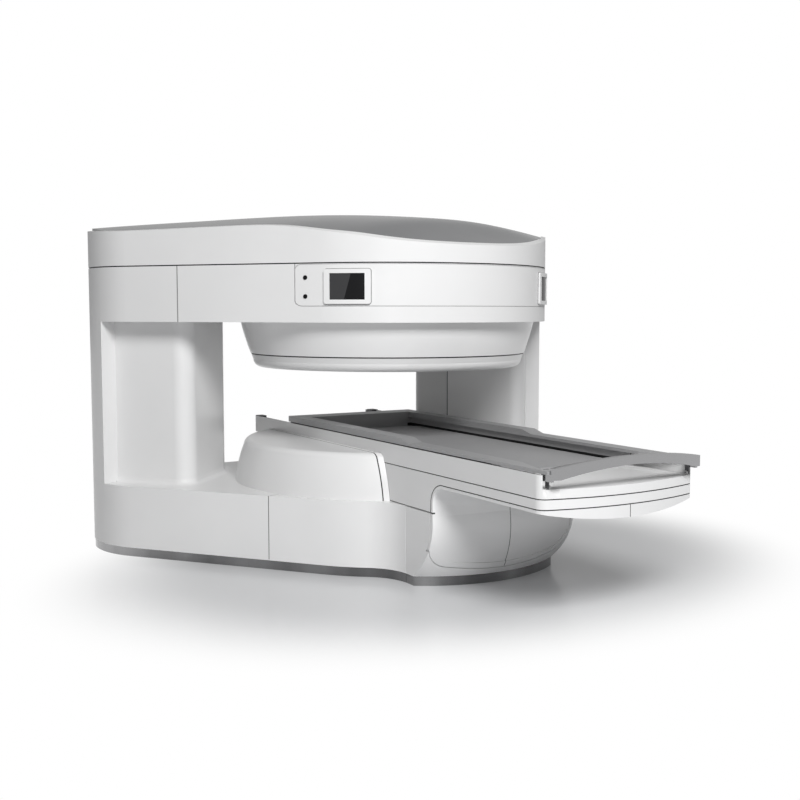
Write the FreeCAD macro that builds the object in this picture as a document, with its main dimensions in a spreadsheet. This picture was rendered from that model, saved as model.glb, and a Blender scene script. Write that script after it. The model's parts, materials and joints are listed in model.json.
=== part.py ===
import FreeCAD, Part
import math
import os
import Sketcher

# Open magnetic resonance scanner: a fan-shaped two-column magnet with a fixed patient table.
# Frame: origin on the floor in the middle of the footprint, +Z up, the table runs out along -Y.
# The pieces are drawn about the magnet's axis and moved to that frame at the end.
# The right-hand side (+X) is modelled and the left-hand side is its mirror image.

os.makedirs("parts", exist_ok=True)

# ---------------------------------------------------------------- driving sizes (mm, degrees)

SIZES = [
    # magnet housing, in plan
    ("nose_radius", 861, "rounded front of the housing, about the magnet's axis"),
    ("wall_angle", 51.5, "turn from straight ahead to the housing's front walls"),
    ("half_width", 1461, "widest point of the housing"),
    ("front_corner_radius", 440, "outer front corners"),
    ("side_flat", 18.7, "straight part of each side, up to the rear corners' rounding"),
    ("rear_y", 926, "rear wall"),
    ("skin", 12, "wall of every moulded cover"),
    ("seam", 0.6, "gap between neighbouring covers"),
    # magnet housing, in height
    ("skirt_height", 46, "metal plinth"),
    ("skirt_wall", 30, "width of the plinth's rail"),
    ("base_top", 369, "ledge round the lower pole"),
    ("band_bottom", 1225, "underside of the upper housing"),
    ("band_top", 1506, "shadow line under the top cover"),
    ("shadow_gap", 6, "height of that shadow line"),
    ("crown_skin", 14, "wall of the domed top"),
    ("rim_width", 24, "white rim round the domed top"),
    # seams between the side covers and the middle ones
    ("base_seam_angle", -19.6, "seam in the base, about the magnet's axis"),
    ("band_seam_angle", 4.3, "seam in the upper housing"),
    ("seam_groove", 1.3, "half the width of the grooves along those seams"),
    ("seam_groove_depth", 4, ""),
    ("panel_seam", 2, "gap round the control panel"),
    ("rear_seam_x", 836, "seams in the rear walls"),
    ("deck_hole", 820, "hole in the ledge for the lower pole"),
    ("soffit_hole", 760, "hole under the upper housing"),
    ("crown_recess", 3, "how far the dome lies below its rim"),
    ("seal_inset", 5, ""),
    ("skirt_inset", 4, ""),
    # front operating panel
    ("panel_along", 138.4, "how far the control panel runs on along the straight walls"),
    ("panel_bottom", 1305, ""),
    ("panel_top", 1502, ""),
    ("panel_depth", 6, "thickness of the control panel"),
    ("panel_corner", 25, ""),
    ("display_angle", 42.8, "middle of each display, from straight ahead"),
    ("display_span", 15.2, "angle that a display's bezel covers"),
    ("display_bottom", 1314, ""),
    ("display_top", 1479, ""),
    ("bezel_depth", 12, "how far a bezel stands out"),
    ("bezel_border", 20, "frame above and below each screen"),
    ("bezel_side", 29, "frame beside each screen"),
    ("bezel_corner", 12, ""),
    ("button_radius", 10.5, ""),
    ("button_clearance", 0.5, ""),
    ("button_proud", 3, "how far a button stands out"),
    ("button_collar_gap", 0.3, ""),
    ("button_along", 85, "place of the buttons along the straight wall"),
    ("button_low", 1350, "height of each lower button"),
    ("button_high", 1440, "height of each upper button"),
    # upper pole cover
    ("pole_top_radius", 803, "where it leaves the upper housing"),
    ("pole_ring_radius", 751, "at the dark ring"),
    ("pole_ring_z", 1053, "height of the dark ring"),
    ("pole_ring_gap", 5, ""),
    ("pole_bottom", 982, "top of the patient gap"),
    ("pole_edge_radius", 40, "rounded lower edge"),
    ("pole_edge_r", 736, "radius where that rounding starts"),
    # lower pole cover
    ("lobe_radius", 841, "foot of the lower pole cover"),
    ("lobe_bulge", 6, "how far its side bulges"),
    ("lobe_shoulder_radius", 792, "where its side turns to the top"),
    ("lobe_shoulder_z", 562, ""),
    ("lobe_edge", 38, "width of the rounded edge"),
    ("lobe_edge_bulge", 9, ""),
    ("lobe_trim_width", 26, ""),
    ("pole_wall", 8, ""),
    ("lobe_top", 592, "bottom of the patient gap"),
    ("lobe_slot_gap", 2, "room between the lower pole cover and the table"),
    ("lobe_seam", 2.5, "gap between the lower pole cover and its trim"),
    # column covers: the direction that each face looks in and its distance from the axis
    ("column_front", 740, "front face, parallel to the housing's front wall"),
    ("column_inner_angle", -138.45, "face towards the magnet"),
    ("column_inner", -926.9, ""),
    ("column_back_angle", -157.5, "face beside the rear opening"),
    ("column_back", -906.7, ""),
    ("column_tail_angle", 129.0, "face that runs out to the rear wall"),
    ("column_tail", 196.7, ""),
    ("column_return_angle", -114.35, "inner end of the side cover's upright"),
    ("column_return", -1044.8, ""),
    ("column_corner_radius", 80, "rounded front corner"),
    ("column_rear_radius", 60, "rounded rear corner"),
    ("flare", 28, "width of the columns' flared feet"),
    # magnet
    ("foot_radius", 45, "levelling feet"),
    ("yoke_foot_height", 110, "underside of the lower yoke plate"),
    ("yoke_thickness", 190, ""),
    ("magnet_gap", 974, "between the yoke plates"),
    ("yoke_front_y", -640, ""),
    ("yoke_front_half", 400, ""),
    ("yoke_side_x", 1270, ""),
    ("yoke_side_y", 440, ""),
    ("yoke_rear_x", 1000, ""),
    ("yoke_rear_y", 850, ""),
    ("iron_column_x", 1035, "middle of each iron column"),
    ("iron_column_y", 565, ""),
    ("iron_column_wide", 330, ""),
    ("iron_column_deep", 300, ""),
    ("magnet_radius", 560, "permanent magnet discs"),
    ("magnet_thickness", 120, ""),
    ("pole_piece_radius", 640, ""),
    ("pole_piece_thickness", 80, ""),
    ("shim_ring_width", 60, "raised rim of each pole piece"),
    ("gradient_radius", 570, ""),
    ("gradient_thickness", 24, ""),
    ("coil_radius", 600, "transmit coils"),
    ("coil_thickness", 16, ""),
    # patient table
    ("table_half_width", 410, ""),
    ("table_far_y", 911, ""),
    ("table_near_y", -1950, "middle of the bowed near end"),
    ("table_near_angle", 14, "half the angle of the bow"),
    ("table_near_radius", 1367, "radius of the bow"),
    ("table_corner_radius", 45, ""),
    ("table_far_radius", 20, ""),
    ("table_wall", 12, ""),
    ("side_top", 646, "top of the table's side walls"),
    ("deck_top", 588, "surface that the tray rolls over"),
    ("groove_z", 549, "groove between the upper and the middle cover"),
    ("groove_gap", 4, ""),
    ("groove_depth", 5, ""),
    ("cover_wall", 14, "wall of the covers under the table"),
    ("lip_line_z", 507, "seam above the overhang's rim"),
    ("rim_height", 15, "that rim"),
    ("belly_drop", 38, "how far the overhang's underside sinks in the middle"),
    ("throat_radius", 77, "hollow between pedestal and overhang"),
    # pedestal
    ("blend_radius", 250, "hollow corner between base and pedestal"),
    ("pedestal_front_y", -1112, "its front edges, at the sides"),
    ("pedestal_bow", 38, "how far the front stands out in the middle"),
    ("pedestal_knee_y", -1088, "front edges lower down"),
    ("pedestal_knee_bow", 62, ""),
    ("pedestal_knee_z", 205, ""),
    ("pedestal_chest_z", 353, "height where the front turns upright"),
    ("pedestal_toe_y", -948, "front edges at the plinth"),
    ("pedestal_toe_bow", 131, ""),
    ("pedestal_back_y", -560, "hidden rear end of the pedestal's covers"),
    ("pedestal_join_y", -745, "where its sides join the base's front wall"),
    ("scoop_depth", 6, "how far the front panel lies behind its rim"),
    ("scoop_bottom", 104, "lower edge of that panel, in the middle"),
    ("scoop_corner", 120, ""),
    ("rim_bottom", 75, "lower edge of the rim, in the middle"),
    ("rim_corner", 135, ""),
    ("front_seam", 1, "seam down the middle of the front panels"),
    ("deck_thickness", 10, ""),
    ("side_end_y", -1890, "near ends of the side walls"),
    ("end_cap_width", 44, ""),
    ("end_cap_length", 81, ""),
    # patient tray
    ("tray_inset", 9, "how far the table's sides stand out beyond the tray"),
    ("tray_far_y", 437, ""),
    ("board_near_y", -1530, "near end of the tray's floor; its rails run on to the push bar"),
    ("tray_side_gap", 6, "between the tray's lower part and the table's side walls"),
    ("tray_floor", 591, "underside"),
    ("tray_floor_thickness", 8, ""),
    ("tray_rail_low", 650, "underside of the rails"),
    ("tray_rail_top", 682, ""),
    ("tray_rail_width", 79, ""),
    ("tray_wall_inset", 52, "inner walls under the rails, from the tray's lower sides"),
    ("tray_head_y", 305, "inner edge of the head end"),
    ("tray_wall", 8, ""),
    ("armrest_far_y", -880, "far end of the rails' lowered stretch"),
    ("armrest_drop", 18, ""),
    ("armrest_ramp", 70, ""),
    ("mat_thickness", 8, ""),
    ("mat_gap", 4, ""),
    ("mat_margin", 70, "bare floor between the mat and the head end"),
    ("mat_corner", 90, ""),
    ("arm_taper_far_y", -1650, "where the rails' ends start to narrow"),
    ("arm_taper_near_y", -1850, ""),
    ("arm_width", 21, "width of their narrow ends"),
    ("handle_near_y", -1986, "middle of the bowed push bar"),
    ("handle_radius", 1900, "radius of its bow"),
    ("handle_inset", 10, "how far the push bar's ends lie inside the rails' outer edges"),
    ("handle_depth", 26, "front to back"),
    ("handle_foot", 31, "flat ends of its underside"),
    ("handle_end_low", 631, ""),
    ("handle_end_top", 677, ""),
    ("handle_arch_top", 709, ""),
    ("handle_arch_low", 673, ""),
    ("lug_low", 622, "corner pieces that join the rails to the push bar"),
    ("lug_far_y", -1868, ""),
    ("end_roller_radius", 9, ""),
    ("end_roller_width", 6, ""),
    ("end_roller_inset", 10, "middle of the end rollers, from the rails' narrow ends"),
    ("end_roller_y", -1887, ""),
    # running gear
    ("roller_radius", 20, "support rollers under the tray"),
    ("roller_width", 24, ""),
    ("roller_x", 250, ""),
    ("roller_first_y", -1120, ""),
    ("roller_pitch", 640, ""),
    ("axle_radius", 4, ""),
    ("running_clearance", 0.05, "axles and shafts in their bores"),
    ("rolling_gap", 0.3, "between a roller and what it carries"),
    ("beam_x", 300, "table beams"),
    ("beam_width", 40, ""),
    ("beam_low", 549, ""),
    ("beam_high", 578, ""),
    ("pulley_radius", 11, ""),
    ("pulley_width", 18, ""),
    ("pulley_near_y", -1800, ""),
    ("pulley_far_y", 820, ""),
    ("pulley_z", 564.5, ""),
    ("belt_thickness", 1.8, ""),
    ("belt_width", 14, ""),
    ("clamp_y", -420, "where the belt is clamped to the tray"),
    ("tray_travel", 380, "how far the tray rolls into the magnet"),
    ("motor_radius", 30, ""),
    ("motor_length", 45, ""),
    ("frame_near_y", -1880, ""),
    ("post_near_y", -900, "posts in the pedestal"),
    ("post_far_y", -740, ""),
    ("brace_y", 60, ""),
    ("rear_leg_y", 862, ""),
    ("rear_leg_deep", 26, ""),
]

# sections across the domed top, from front to back: place as a share of the nose's radius or of
# the rear wall's distance, height and radius of the dome, how far its rim lies lower and the
# rim's radius, and half width as a share of the housing's
CROWN_ROWS = "abcdefghi"
CROWN = [
    (-1.0221, 1578, 3000, 0, 3000, 0.3285),
    (-0.9175, 1633, 2500, 0, 2500, 0.4449),
    (-0.8223, 1681, 2300, 0, 2300, 0.5133),
    (-0.7085, 1731, 2300, 0, 2300, 0.616),
    (-0.5575, 1755, 3050, 6, 3400, 0.6845),
    (-0.302, 1778, 4700, 15, 6000, 0.8556),
    (0, 1802, 5420, 22, 7000, 1.0267),
    (0.4503, 1818, 7770, 22, 9500, 1.0951),
    (1.0259, 1806, 8390, 22, 10500, 1.0951),
]

doc = FreeCAD.newDocument("OpenScanner")
sheet = doc.addObject("Spreadsheet::Sheet", "Sizes")


class Size:
    """A length or an angle: its value, and the sheet formula that gives it."""

    def __init__(self, value, formula):
        self.value = float(value)
        self.formula = formula

    def __add__(self, other):
        other = size(other)
        return Size(self.value + other.value, "(%s + %s)" % (self.formula, other.formula))

    def __sub__(self, other):
        other = size(other)
        return Size(self.value - other.value, "(%s - %s)" % (self.formula, other.formula))

    def __mul__(self, other):
        other = size(other)
        return Size(self.value * other.value, "(%s * %s)" % (self.formula, other.formula))

    def __truediv__(self, other):
        other = size(other)
        return Size(self.value / other.value, "(%s / %s)" % (self.formula, other.formula))

    def __neg__(self):
        return Size(-self.value, "(0 - %s)" % self.formula)


def size(number):
    """The number itself where it already is a Size, or a fixed one."""
    return number if isinstance(number, Size) else Size(number, repr(float(number)))


def sine(angle):
    return Size(math.sin(math.radians(angle.value)), "sin(%s)" % angle.formula)


def cosine(angle):
    return Size(math.cos(math.radians(angle.value)), "cos(%s)" % angle.formula)


def root(number):
    return Size(math.sqrt(number.value), "sqrt(%s)" % number.formula)


class Sizes:
    """The driving sizes by name, as Sizes.name."""


sheet_rows = []


def add_size(name, value, content, note):
    """Fill the sheet's next row, and make the size known by its name."""
    sheet_rows.append(name)
    row = len(sheet_rows)
    sheet.set("A%d" % row, name)
    sheet.set("B%d" % row, content)
    sheet.set("C%d" % row, note)
    sheet.setAlias("B%d" % row, name)
    setattr(Sizes, name, Size(value, "Sizes." + name))


def tie(name, made, note=""):
    """Add a size that follows from others."""
    add_size(name, made.value, "=" + made.formula.replace("Sizes.", ""), note)


def fill_sheet():
    for name, value, note in SIZES:
        add_size(name, value, str(value), note)
    for letter, section in zip(CROWN_ROWS, CROWN):
        for name, value in zip(("place", "top", "radius", "sink", "rim_radius", "half"), section):
            add_size("crown_%s_%s" % (name, letter), value, str(value), "")
    doc.recompute()


fill_sheet()
S = Sizes
ZERO = size(0)
FAR = size(2600)

# ---------------------------------------------------------------- outlines

# An outline is a closed list of segments. Each is (start, end) for a line, or
# (start, end, centre, radius, turn) for an arc, with turn +1 anticlockwise.


def spot(x, y):
    return (size(x), size(y))


def polygon(points):
    return [(points[i], points[(i + 1) % len(points)]) for i in range(len(points))]


def box(low_x, low_y, high_x, high_y):
    return polygon([spot(low_x, low_y), spot(high_x, low_y), spot(high_x, high_y), spot(low_x, high_y)])


def meet(angle_a, distance_a, angle_b, distance_b):
    """Where two lines cross, each given by its normal's angle and its distance from the origin."""
    spread = sine(angle_b - angle_a)
    x = (distance_a * sine(angle_b) - distance_b * sine(angle_a)) / spread
    y = (distance_b * cosine(angle_a) - distance_a * cosine(angle_b)) / spread
    return (x, y)


def beside(centre, angle, distance):
    return (centre[0] + distance * cosine(angle), centre[1] + distance * sine(angle))


def tie_sizes():
    """The sizes that follow from those in the list above."""
    front = meet(S.wall_angle - 90, S.nose_radius - S.front_corner_radius,
                 ZERO, S.half_width - S.front_corner_radius)
    tie("rear_corner_radius", S.rear_y - S.side_flat - front[1], "outer rear corners")
    tie("end_cap_x", S.table_half_width - S.end_cap_width)
    tie("tray_half_width", S.table_half_width - S.tray_inset)
    tie("tray_body_half", S.table_half_width - S.table_wall - S.tray_side_gap)
    tie("tray_rail_inner", S.tray_half_width - S.tray_rail_width)
    tie("tray_wall_inner", S.tray_body_half - S.tray_wall_inset)
    tie("arm_inner", S.tray_half_width - S.arm_width)
    tie("handle_half_width", S.tray_half_width - S.handle_inset)
    tie("end_roller_x", S.arm_inner - S.end_roller_inset)
    doc.recompute()


tie_sizes()


def faceted(faces, inset=ZERO):
    """Outline from faces in anticlockwise order, moved inwards by inset.

    A face is (angle of its normal, distance from the origin, radius of the corner after it).
    """
    corners = []
    for index, (angle, distance, radius) in enumerate(faces):
        next_angle, next_distance, _ = faces[(index + 1) % len(faces)]
        if radius is None:
            corners.append([meet(angle, distance - inset, next_angle, next_distance - inset)])
            continue
        centre = meet(angle, distance - radius, next_angle, next_distance - radius)
        reach = radius - inset
        corners.append([beside(centre, angle, reach), beside(centre, next_angle, reach), centre, reach])
    segments = []
    for index, corner in enumerate(corners):
        previous = corners[index - 1]
        leave = previous[1] if len(previous) > 1 else previous[0]
        segments.append((leave, corner[0]))
        if len(corner) > 1:
            segments.append((corner[0], corner[1], corner[2], corner[3], 1))
    return segments


def housing_faces():
    right = S.wall_angle - 90
    left = -S.wall_angle - 90
    return [
        (left, S.nose_radius, S.nose_radius),
        (right, S.nose_radius, S.front_corner_radius),
        (ZERO, S.half_width, S.rear_corner_radius),
        (size(90), S.rear_y, S.rear_corner_radius),
        (size(180), S.half_width, S.front_corner_radius),
    ]


def housing(inset=ZERO):
    """Plan of the magnet housing: rounded nose, slanted walls, round corners, straight back."""
    return faceted(housing_faces(), inset)


def table_plan(inset=ZERO):
    """Plan of the patient table, with its bowed near end."""
    centre_y = S.table_near_y + S.table_near_radius
    bow = S.table_near_radius - centre_y * cosine(S.table_near_angle)
    return faceted([
        (-S.table_near_angle - 90, bow, S.table_near_radius),
        (S.table_near_angle - 90, bow, S.table_corner_radius),
        (ZERO, S.table_half_width, S.table_far_radius),
        (size(90), S.table_far_y, S.table_far_radius),
        (size(180), S.table_half_width, S.table_corner_radius),
    ], inset)


def column_plan(inset=ZERO, beyond=ZERO):
    """Plan of the right-hand column's covers; its ends lie inside the other covers."""
    end = meet(S.wall_angle - 90, S.column_front, S.column_return_angle, S.column_return)[0] + 10
    return faceted([
        (S.wall_angle - 90, S.column_front, None),
        (ZERO, end + inset + beyond, None),
        (size(90), S.rear_y - S.skin + inset + beyond, None),
        (S.column_tail_angle, S.column_tail, S.column_rear_radius),
        (S.column_back_angle, S.column_back, None),
        (S.column_inner_angle, S.column_inner, S.column_corner_radius),
    ], inset)


def bulge(start, end, rise):
    """Arc from start to end that stands out by rise to the right of the way there."""
    across = end[0] - start[0]
    along = end[1] - start[1]
    chord = root(across * across + along * along)
    radius = (chord * chord / 4 + rise * rise) / (rise * 2)
    back = (radius - rise) / chord
    centre = ((start[0] + end[0]) / 2 - along * back, (start[1] + end[1]) / 2 + across * back)
    return (start, end, centre, radius, 1)


def hollow(start, end, rise):
    """Arc from start to end that stands out by rise to the left of the way there."""
    _, _, centre, radius, _ = bulge(end, start, rise)
    return (start, end, centre, radius, -1)


def circle(centre, radius):
    return [("circle", centre, radius)]


# ---------------------------------------------------------------- sketches and features


def new_body(label):
    made = doc.addObject("PartDesign::Body", label)
    made.Label = label
    return made


def origin_plane(body, role):
    for feature in body.Origin.OriginFeatures:
        if feature.Role == role:
            return feature
    raise ValueError(role)


def pin(sketch, kind, index, end, length):
    number = sketch.addConstraint(Sketcher.Constraint(kind, -1, 1, index, end, length.value))
    sketch.setExpression("Constraints[%d]" % number, length.formula)


def bind_radius(sketch, index, radius):
    number = sketch.addConstraint(Sketcher.Constraint("Radius", index, radius.value))
    sketch.setExpression("Constraints[%d]" % number, radius.formula)


def vector(point):
    return FreeCAD.Vector(point[0].value, point[1].value, 0)


def add_arc(sketch, start, end, centre, radius, turn):
    middle = vector(centre)
    first = vector(start if turn > 0 else end) - middle
    last = vector(end if turn > 0 else start) - middle
    ring = Part.Circle(middle, FreeCAD.Vector(0, 0, 1), radius.value)
    begin = math.atan2(first.y, first.x)
    finish = math.atan2(last.y, last.x)
    return sketch.addGeometry(Part.ArcOfCircle(ring, begin, finish))


def draw_outline(sketch, segments):
    """Draw one closed outline and tie its corners and radii to the sheet."""
    if segments[0][0] == "circle":
        _, centre, radius = segments[0]
        index = sketch.addGeometry(Part.Circle(vector(centre), FreeCAD.Vector(0, 0, 1), radius.value))
        pin(sketch, "DistanceX", index, 3, centre[0])
        pin(sketch, "DistanceY", index, 3, centre[1])
        bind_radius(sketch, index, radius)
        return
    ends = []
    for segment in segments:
        if len(segment) == 2:
            line = Part.LineSegment(vector(segment[0]), vector(segment[1]))
            ends.append((sketch.addGeometry(line), 1, 2))
        else:
            index = add_arc(sketch, *segment)
            ends.append((index, 1, 2) if segment[4] > 0 else (index, 2, 1))
    for place, segment in enumerate(segments):
        index, start, end = ends[place]
        following = ends[(place + 1) % len(ends)]
        sketch.addConstraint(Sketcher.Constraint("Coincident", index, end, following[0], following[1]))
        pin(sketch, "DistanceX", index, start, segment[0][0])
        pin(sketch, "DistanceY", index, start, segment[0][1])
        if len(segment) > 2:
            bind_arc(sketch, index, *segment)


def bind_arc(sketch, index, start, end, centre, radius, turn):
    """Tie an arc's radius to the sheet, or for a half circle its centre."""
    chord = vector(end) - vector(start)
    if chord.Length < 1.9999 * radius.value:
        bind_radius(sketch, index, radius)
    elif abs(chord.y) > abs(chord.x):
        pin(sketch, "DistanceX", index, 3, centre[0])
    else:
        pin(sketch, "DistanceY", index, 3, centre[1])


def new_sketch(body, outlines, plane, offset):
    """Sketch with the given outlines, on an origin plane of its body, moved along its normal."""
    sketch = body.newObject("Sketcher::SketchObject", body.Name + "_sketch")
    sketch.AttachmentSupport = [(origin_plane(body, plane), "")]
    sketch.MapMode = "FlatFace"
    sketch.AttachmentOffset = FreeCAD.Placement(FreeCAD.Vector(0, 0, offset.value), FreeCAD.Rotation())
    sketch.setExpression("AttachmentOffset.Base.z", offset.formula)
    for segments in outlines:
        draw_outline(sketch, segments)
    return sketch


def extrude(body, kind, outlines, low, high, plane):
    """Pad or pocket between two levels along X, Y or Z."""
    low = size(low)
    high = size(high)
    towards_minus = plane == "XZ_Plane"
    start = high if (kind == "Pad") == towards_minus else low
    sketch = new_sketch(body, outlines, plane, -start if towards_minus else start)
    feature = body.newObject("PartDesign::" + kind, body.Name + "_" + kind.lower())
    feature.Profile = sketch
    feature.setExpression("Length", (high - low).formula)
    feature.Length = high.value - low.value
    return feature


def pad(body, outline, low, high, plane="XY_Plane"):
    return extrude(body, "Pad", [outline], low, high, plane)


def pad_all(body, outlines, low, high, plane="XY_Plane"):
    return extrude(body, "Pad", outlines, low, high, plane)


def cut(body, outline, low, high, plane="XY_Plane"):
    return extrude(body, "Pocket", [outline], low, high, plane)


def cut_all(body, outlines, low, high, plane="XY_Plane"):
    return extrude(body, "Pocket", outlines, low, high, plane)


def spin(body, outline, kind="Revolution"):
    """Revolve an outline of (radius, height) about the vertical axis."""
    sketch = new_sketch(body, [outline], "XZ_Plane", ZERO)
    feature = body.newObject("PartDesign::" + kind, body.Name + "_turned")
    feature.Profile = sketch
    feature.ReferenceAxis = (sketch, ["V_Axis"])
    feature.Angle = 360
    return feature


def soften(body, names, radius, kind="Fillet"):
    """Round or chamfer the named edges of the body's last feature."""
    base = body.Tip
    feature = body.newObject("PartDesign::" + kind, body.Name + "_" + kind.lower())
    feature.Base = (base, names)
    field = "Radius" if kind == "Fillet" else "Size"
    setattr(feature, field, radius.value)
    feature.setExpression(field, radius.formula)
    return feature


def mirrored(source, label):
    """The left-hand twin of a right-hand piece."""
    twin = doc.addObject("Part::Mirroring", label)
    twin.Source = source
    twin.Base = (0, 0, 0)
    twin.Normal = (1, 0, 0)
    twin.Label = label
    pieces.append(twin)
    return twin


def combine(kind, label, base, tool):
    made = doc.addObject("Part::" + kind, label)
    made.Base = base
    made.Tool = tool
    made.Label = label
    return made


pieces = []


def piece(label):
    """A new body that is one piece of the scanner."""
    made = new_body(label)
    pieces.append(made)
    return made


def pair(build, name):
    """A right-hand piece and its mirror image."""
    right = piece("right_" + name)
    build(right)
    mirrored(right, "left_" + name)


# ---------------------------------------------------------------- magnet housing


def outside_sector(start, end):
    """Everything outside the piece of plan between a seam about the axis and a rear seam."""
    reach = FAR * 2
    inner = (end, end * sine(start) / cosine(start))
    outer = (reach * cosine(start), reach * sine(start))
    return polygon([inner, outer, (outer[0], -reach), (-reach, -reach), (-reach, reach), (end, reach)])


def turned_plan(angle, centre_x, centre_y, deep, wide):
    """A rectangle turned about its own middle."""
    corners = []
    for side, end in ((-0.5, -0.5), (0.5, -0.5), (0.5, 0.5), (-0.5, 0.5)):
        x = centre_x + cosine(angle) * deep * side - sine(angle) * wide * end
        y = centre_y + sine(angle) * deep * side + cosine(angle) * wide * end
        corners.append((x, y))
    return polygon(corners)


def iron_column_plan(growth=ZERO):
    return turned_plan(S.wall_angle - 90, S.iron_column_x, S.iron_column_y,
                       S.iron_column_deep + growth * 2, S.iron_column_wide + growth * 2)


def build_side_cover(body):
    """C-shaped side cover: base end, upright and upper end in one moulding."""
    pad(body, housing(), S.skirt_height, S.band_top)
    cut(body, housing(S.skin), S.skirt_height, S.base_top - S.skin)
    cut(body, housing(S.skin), S.base_top, S.band_bottom)
    cut(body, housing(S.skin), S.band_bottom + S.skin, S.band_top)
    # the upright's inner end closes the space beside the column
    corners = []
    for distance in (S.column_return, S.column_return - S.skin):
        corners.append(meet(S.column_return_angle, distance, ZERO, S.half_width - S.skin))
        corners.append(meet(S.column_return_angle, distance, S.wall_angle - 90, S.column_front))
    pad(body, polygon([corners[1], corners[0], corners[2], corners[3]]), S.base_top, S.band_bottom)
    near = meet(S.column_return_angle, S.column_return, ZERO, FAR)
    far = meet(S.column_return_angle, S.column_return, ZERO, -FAR)
    window = polygon([near, far, (-FAR, -FAR), (FAR, -FAR)])
    cut(body, window, S.base_top, S.band_bottom)
    cut(body, outside_sector(S.base_seam_angle, S.deck_hole - 40), ZERO, S.base_top)
    cut(body, box(-FAR, 0, S.rear_seam_x, FAR), ZERO, S.base_top)
    cut(body, box(-FAR, -FAR, S.rear_seam_x, FAR), S.base_top, S.band_bottom)
    cut(body, outside_sector(S.band_seam_angle, S.rear_seam_x), S.band_bottom, S.band_top)
    cut(body, iron_column_plan(S.skin), S.base_top - S.skin, S.band_bottom + S.skin)
    cut(body, circle(spot(0, 0), S.deck_hole), S.base_top - S.skin, S.base_top)
    seam_groove(body, S.base_seam_angle, S.skirt_height, S.base_top)
    seam_groove(body, S.band_seam_angle, S.band_bottom, S.band_top)


def seam_groove(body, seam_angle, low, high, side=1):
    """Narrow groove in the front wall along a seam that runs out from the axis."""
    wall = S.wall_angle - 90
    corners = []
    for across, deep in ((-1, -5), (1, -5), (1, S.seam_groove_depth), (-1, S.seam_groove_depth)):
        point = meet(wall, S.nose_radius - deep, seam_angle + 90, S.seam_groove * across)
        corners.append((point[0] * side, point[1]))
    cut(body, polygon(corners), low, high)


def build_base_wall(body):
    """Front wall of the base from the side cover's seam to the pedestal, with its ledge."""
    pad(body, housing(), S.skirt_height, S.base_top)
    pad(body, blend_plan(), S.skirt_height, S.base_top)
    cut(body, housing(S.skin), S.skirt_height, S.base_top - S.skin)
    reach = FAR * 2
    start = S.base_seam_angle
    side = S.table_half_width - S.cover_wall
    behind = polygon([
        (side, side * sine(start) / cosine(start) - S.seam),
        (side, -reach),
        (-reach, -reach),
        (-reach, reach),
        (reach, reach),
        (reach * cosine(start), reach * sine(start) - S.seam),
    ])
    cut(body, behind, ZERO, S.base_top)
    cut(body, circle(spot(0, 0), S.deck_hole), S.base_top - S.skin, S.base_top)
    seam_groove(body, S.base_seam_angle, S.skirt_height, S.base_top)


def blend_plan(inset=ZERO):
    """Hollow corner where the base's wall sweeps forward into the pedestal's side."""
    side = S.table_half_width - inset
    reach = S.nose_radius + S.blend_radius
    centre_x = S.table_half_width + S.blend_radius
    centre_y = -root(reach * reach - centre_x * centre_x)
    centre = (centre_x, centre_y)
    radius = S.blend_radius + inset
    share = (S.nose_radius - inset) / reach
    touch = (centre_x * share, centre_y * share)
    tip = beside(centre, size(176), radius)
    inner = (side - 12, centre_y * share)
    corner = (inner[0], tip[1])
    return [(tip, touch, centre, radius, -1), (touch, inner), (inner, corner), (corner, tip)]


def build_rear_lower(body):
    """Rear wall of the base, with the ledge behind the lower pole."""
    pad(body, housing(), S.skirt_height, S.base_top)
    cut(body, housing(S.skin), S.skirt_height, S.base_top - S.skin)
    edge = S.rear_seam_x - S.seam
    cut(body, box(edge, -FAR, FAR, FAR), ZERO, S.base_top)
    cut(body, box(-FAR, -FAR, -edge, FAR), ZERO, S.base_top)
    cut(body, box(-FAR, -FAR, FAR, 0), ZERO, S.base_top)
    cut(body, circle(spot(0, 0), S.deck_hole), S.base_top - S.skin, S.base_top)
    for side in (1, -1):
        cut(body, both_sides(iron_column_plan(S.skin), side), S.base_top - S.skin, S.base_top)
        leg = (S.beam_x + S.beam_width / 2 + 5, S.beam_x - S.beam_width / 2 - 5)
        low, high = (leg[1], leg[0]) if side > 0 else (-leg[0], -leg[1])
        cut(body, box(low, S.rear_leg_y - 5, high, S.rear_leg_y + S.rear_leg_deep + 5),
            S.base_top - S.skin, S.base_top)


def both_sides(segments, side):
    """The outline itself, or its mirror image in the plane between right and left."""
    if side > 0:
        return segments
    return [((-a[0], a[1]), (-b[0], b[1])) for a, b in segments]


def build_rear_upper(body):
    """Rear wall of the upper housing, with its underside."""
    pad(body, housing(), S.band_bottom, S.band_top)
    cut(body, housing(S.skin), S.band_bottom + S.skin, S.band_top)
    edge = S.rear_seam_x - S.seam
    start = S.band_seam_angle
    cut(body, box(edge, -FAR, FAR, FAR), S.band_bottom, S.band_top)
    cut(body, box(-FAR, -FAR, -edge, FAR), S.band_bottom, S.band_top)
    front = edge * sine(start) / cosine(start)
    cut(body, box(-FAR, -FAR, FAR, front), S.band_bottom, S.band_top)
    cut(body, circle(spot(0, 0), S.soffit_hole), S.band_bottom, S.band_bottom + S.skin)
    for side in (1, -1):
        cut(body, both_sides(iron_column_plan(S.skin), side), S.band_bottom, S.band_bottom + S.skin)


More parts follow.
